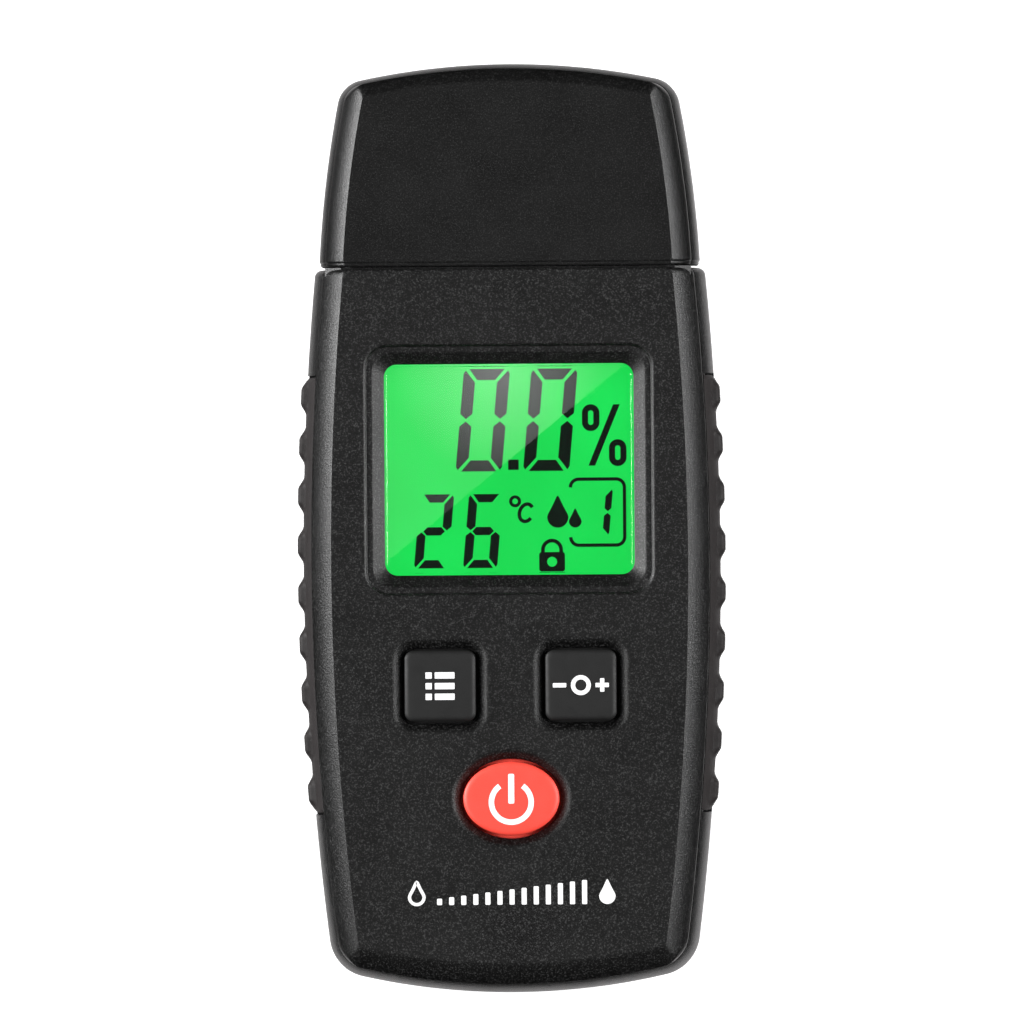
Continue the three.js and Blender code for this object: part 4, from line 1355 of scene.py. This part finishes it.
def stage_sheet(name, corners, material):
    """A flat sheet of the studio, from its corners in metres."""
    mesh = bpy.data.meshes.new(name)
    mesh.from_pydata(corners, [], [tuple(range(len(corners)))])
    mesh.materials.append(material)
    sheet = bpy.data.objects.new(name, mesh)
    bpy.context.collection.objects.link(sheet)
    return sheet


def only_in_gloss(sheet):
    """Leaves a sheet seen in reflections only."""
    sheet.visible_camera = False
    sheet.visible_diffuse = False
    sheet.visible_transmission = False
    sheet.visible_shadow = False


def level_corners(x, y, z):
    """The corners of a level rectangle about the middle, from its half sizes and height."""
    return [(-x, -y, z), (x, -y, z), (x, y, z), (-x, y, z)]


def floor():
    """White, and lit from inside like a light table, so that the meter stands on plain white."""
    material = emissive("floor", (1, 1, 1), 0.65)
    set_inputs(material.node_tree.nodes["Principled BSDF"],
               {"Base Color": (0.8, 0.8, 0.8, 1), "Roughness": 0.9})
    sheet = stage_sheet("floor", level_corners(STAGE_REACH, STAGE_REACH, 0), material)
    sheet.visible_glossy = False


def table_glow():
    """The part of the light table close to the meter, as its lower edges mirror it."""
    only_in_gloss(stage_sheet("table_glow", level_corners(TABLE_X, TABLE_Y, 0.0002),
                              emissive("table_glow", (1, 0.98, 0.98), TABLE_STRENGTH)))


def dark_surround():
    """What the meter mirrors from below its own level, beyond the lit table: darkness."""
    only_in_gloss(stage_sheet("dark_surround", level_corners(STAGE_REACH, STAGE_REACH, -0.002),
                              emissive("dark_surround", (0, 0, 0), 0.0)))


def window_reflector():
    """A card above the meter whose mirror image lies across the upper left of the window."""
    height = 0.3
    centre = camera_place()
    spread_out = 1 + height / (centre.z - cad_box("display_window")[1][2] * MM)

    def above(x, y):
        point = metres(*window_spot(x, y), 0)
        seen = centre + (point - centre) * spread_out
        return Vector((seen.x, seen.y, height))

    # The card's slanting edge crosses the window from its lower left to its upper right corner.
    corners = [above(-2, -0.24), above(36.4, 31.25), above(-2, 31.25)]
    material = emissive("window_reflector", (1, 1, 1), 1.0)
    nodes, links = material.node_tree.nodes, material.node_tree.links
    place = nodes.new("ShaderNodeTexCoord")
    away = nodes.new("ShaderNodeVectorMath")
    away.operation = "DISTANCE"
    away.inputs[1].default_value = above(16.7, 28.5)
    links.new(place.outputs["Object"], away.inputs[0])
    glow = spread(nodes, links, away.outputs["Value"], *REFLECTOR_GLOW, 0.0, 0.016)
    links.new(glow, nodes["Principled BSDF"].inputs["Emission Strength"])
    only_in_gloss(stage_sheet("window_reflector", [tuple(corner) for corner in corners], material))


def studio():
    floor()
    table_glow()
    dark_surround()
    window_reflector()
    world = bpy.data.worlds.new("studio")
    world.use_nodes = True
    set_inputs(world.node_tree.nodes["Background"],
               {"Color": (1, 1, 1, 1), "Strength": WORLD_STRENGTH})
    bpy.context.scene.world = world
    # Low strips light the bevels, and higher lights the prints and keys.
    area_light("left_strip", (-0.58, 0.14, 0.105), (0.24, 0.15), 5.4)
    area_light("right_strip", (0.6, 0.09, 0.105), (0.35, 0.15), 2.9)
    area_light("left_key", (-0.8, 0, 0.8), (0.4, 0.4), 9.5)
    area_light("right_key", (0.8, 0, 0.8), (0.4, 0.4), 9.5)
    bpy.context.scene.view_settings.view_transform = "Standard"


def camera_place():
    return Vector((0.0731, 0.0023, 4.0))


def camera():
    """Above the meter and a touch to its right, with a long lens and a slight roll."""
    widest_z = 0.012  # the height at which the meter is widest
    field = 0.14451  # the view's width there
    aim_x = 0.0001
    place = camera_place()
    rise = place.z - widest_z
    data = bpy.data.cameras.new("camera")
    data.sensor_width = 36
    data.lens = data.sensor_width * rise / field
    data.clip_end = 20
    obj = bpy.data.objects.new("camera", data)
    obj.location = place
    obj.rotation_mode = "ZYX"
    obj.rotation_euler = (0, math.atan2(place.x - aim_x, rise), math.radians(-0.42))
    bpy.context.collection.objects.link(obj)
    bpy.context.scene.camera = obj


# ---- the whole meter

def dress_cad_nodes():
    """Gives every CAD node its slot's material, for the nodes that stay in view."""
    slots = {part["node"]: part["material_slot"] for part in frame["record"]["subparts"]}
    for name, obj in frame["nodes"].items():
        obj.data.materials.clear()
        obj.data.materials.append(MATERIALS[slots[name]])


camera()
studio()
dress_cad_nodes()
front_shell()
rear_shell()
battery_door()
pin_cap()
for side in (-1, 1):
    grip(side)
square_key("mode_key", MODE_HOLE)
square_key("set_key", SET_HOLE)
power_key()
mode_print()
set_print()
power_print()
scale_print()
display_ground()
display_segments()
window_pane()
measuring_pins()
pin_sockets()
case_screws()
battery_cells()
battery_springs()
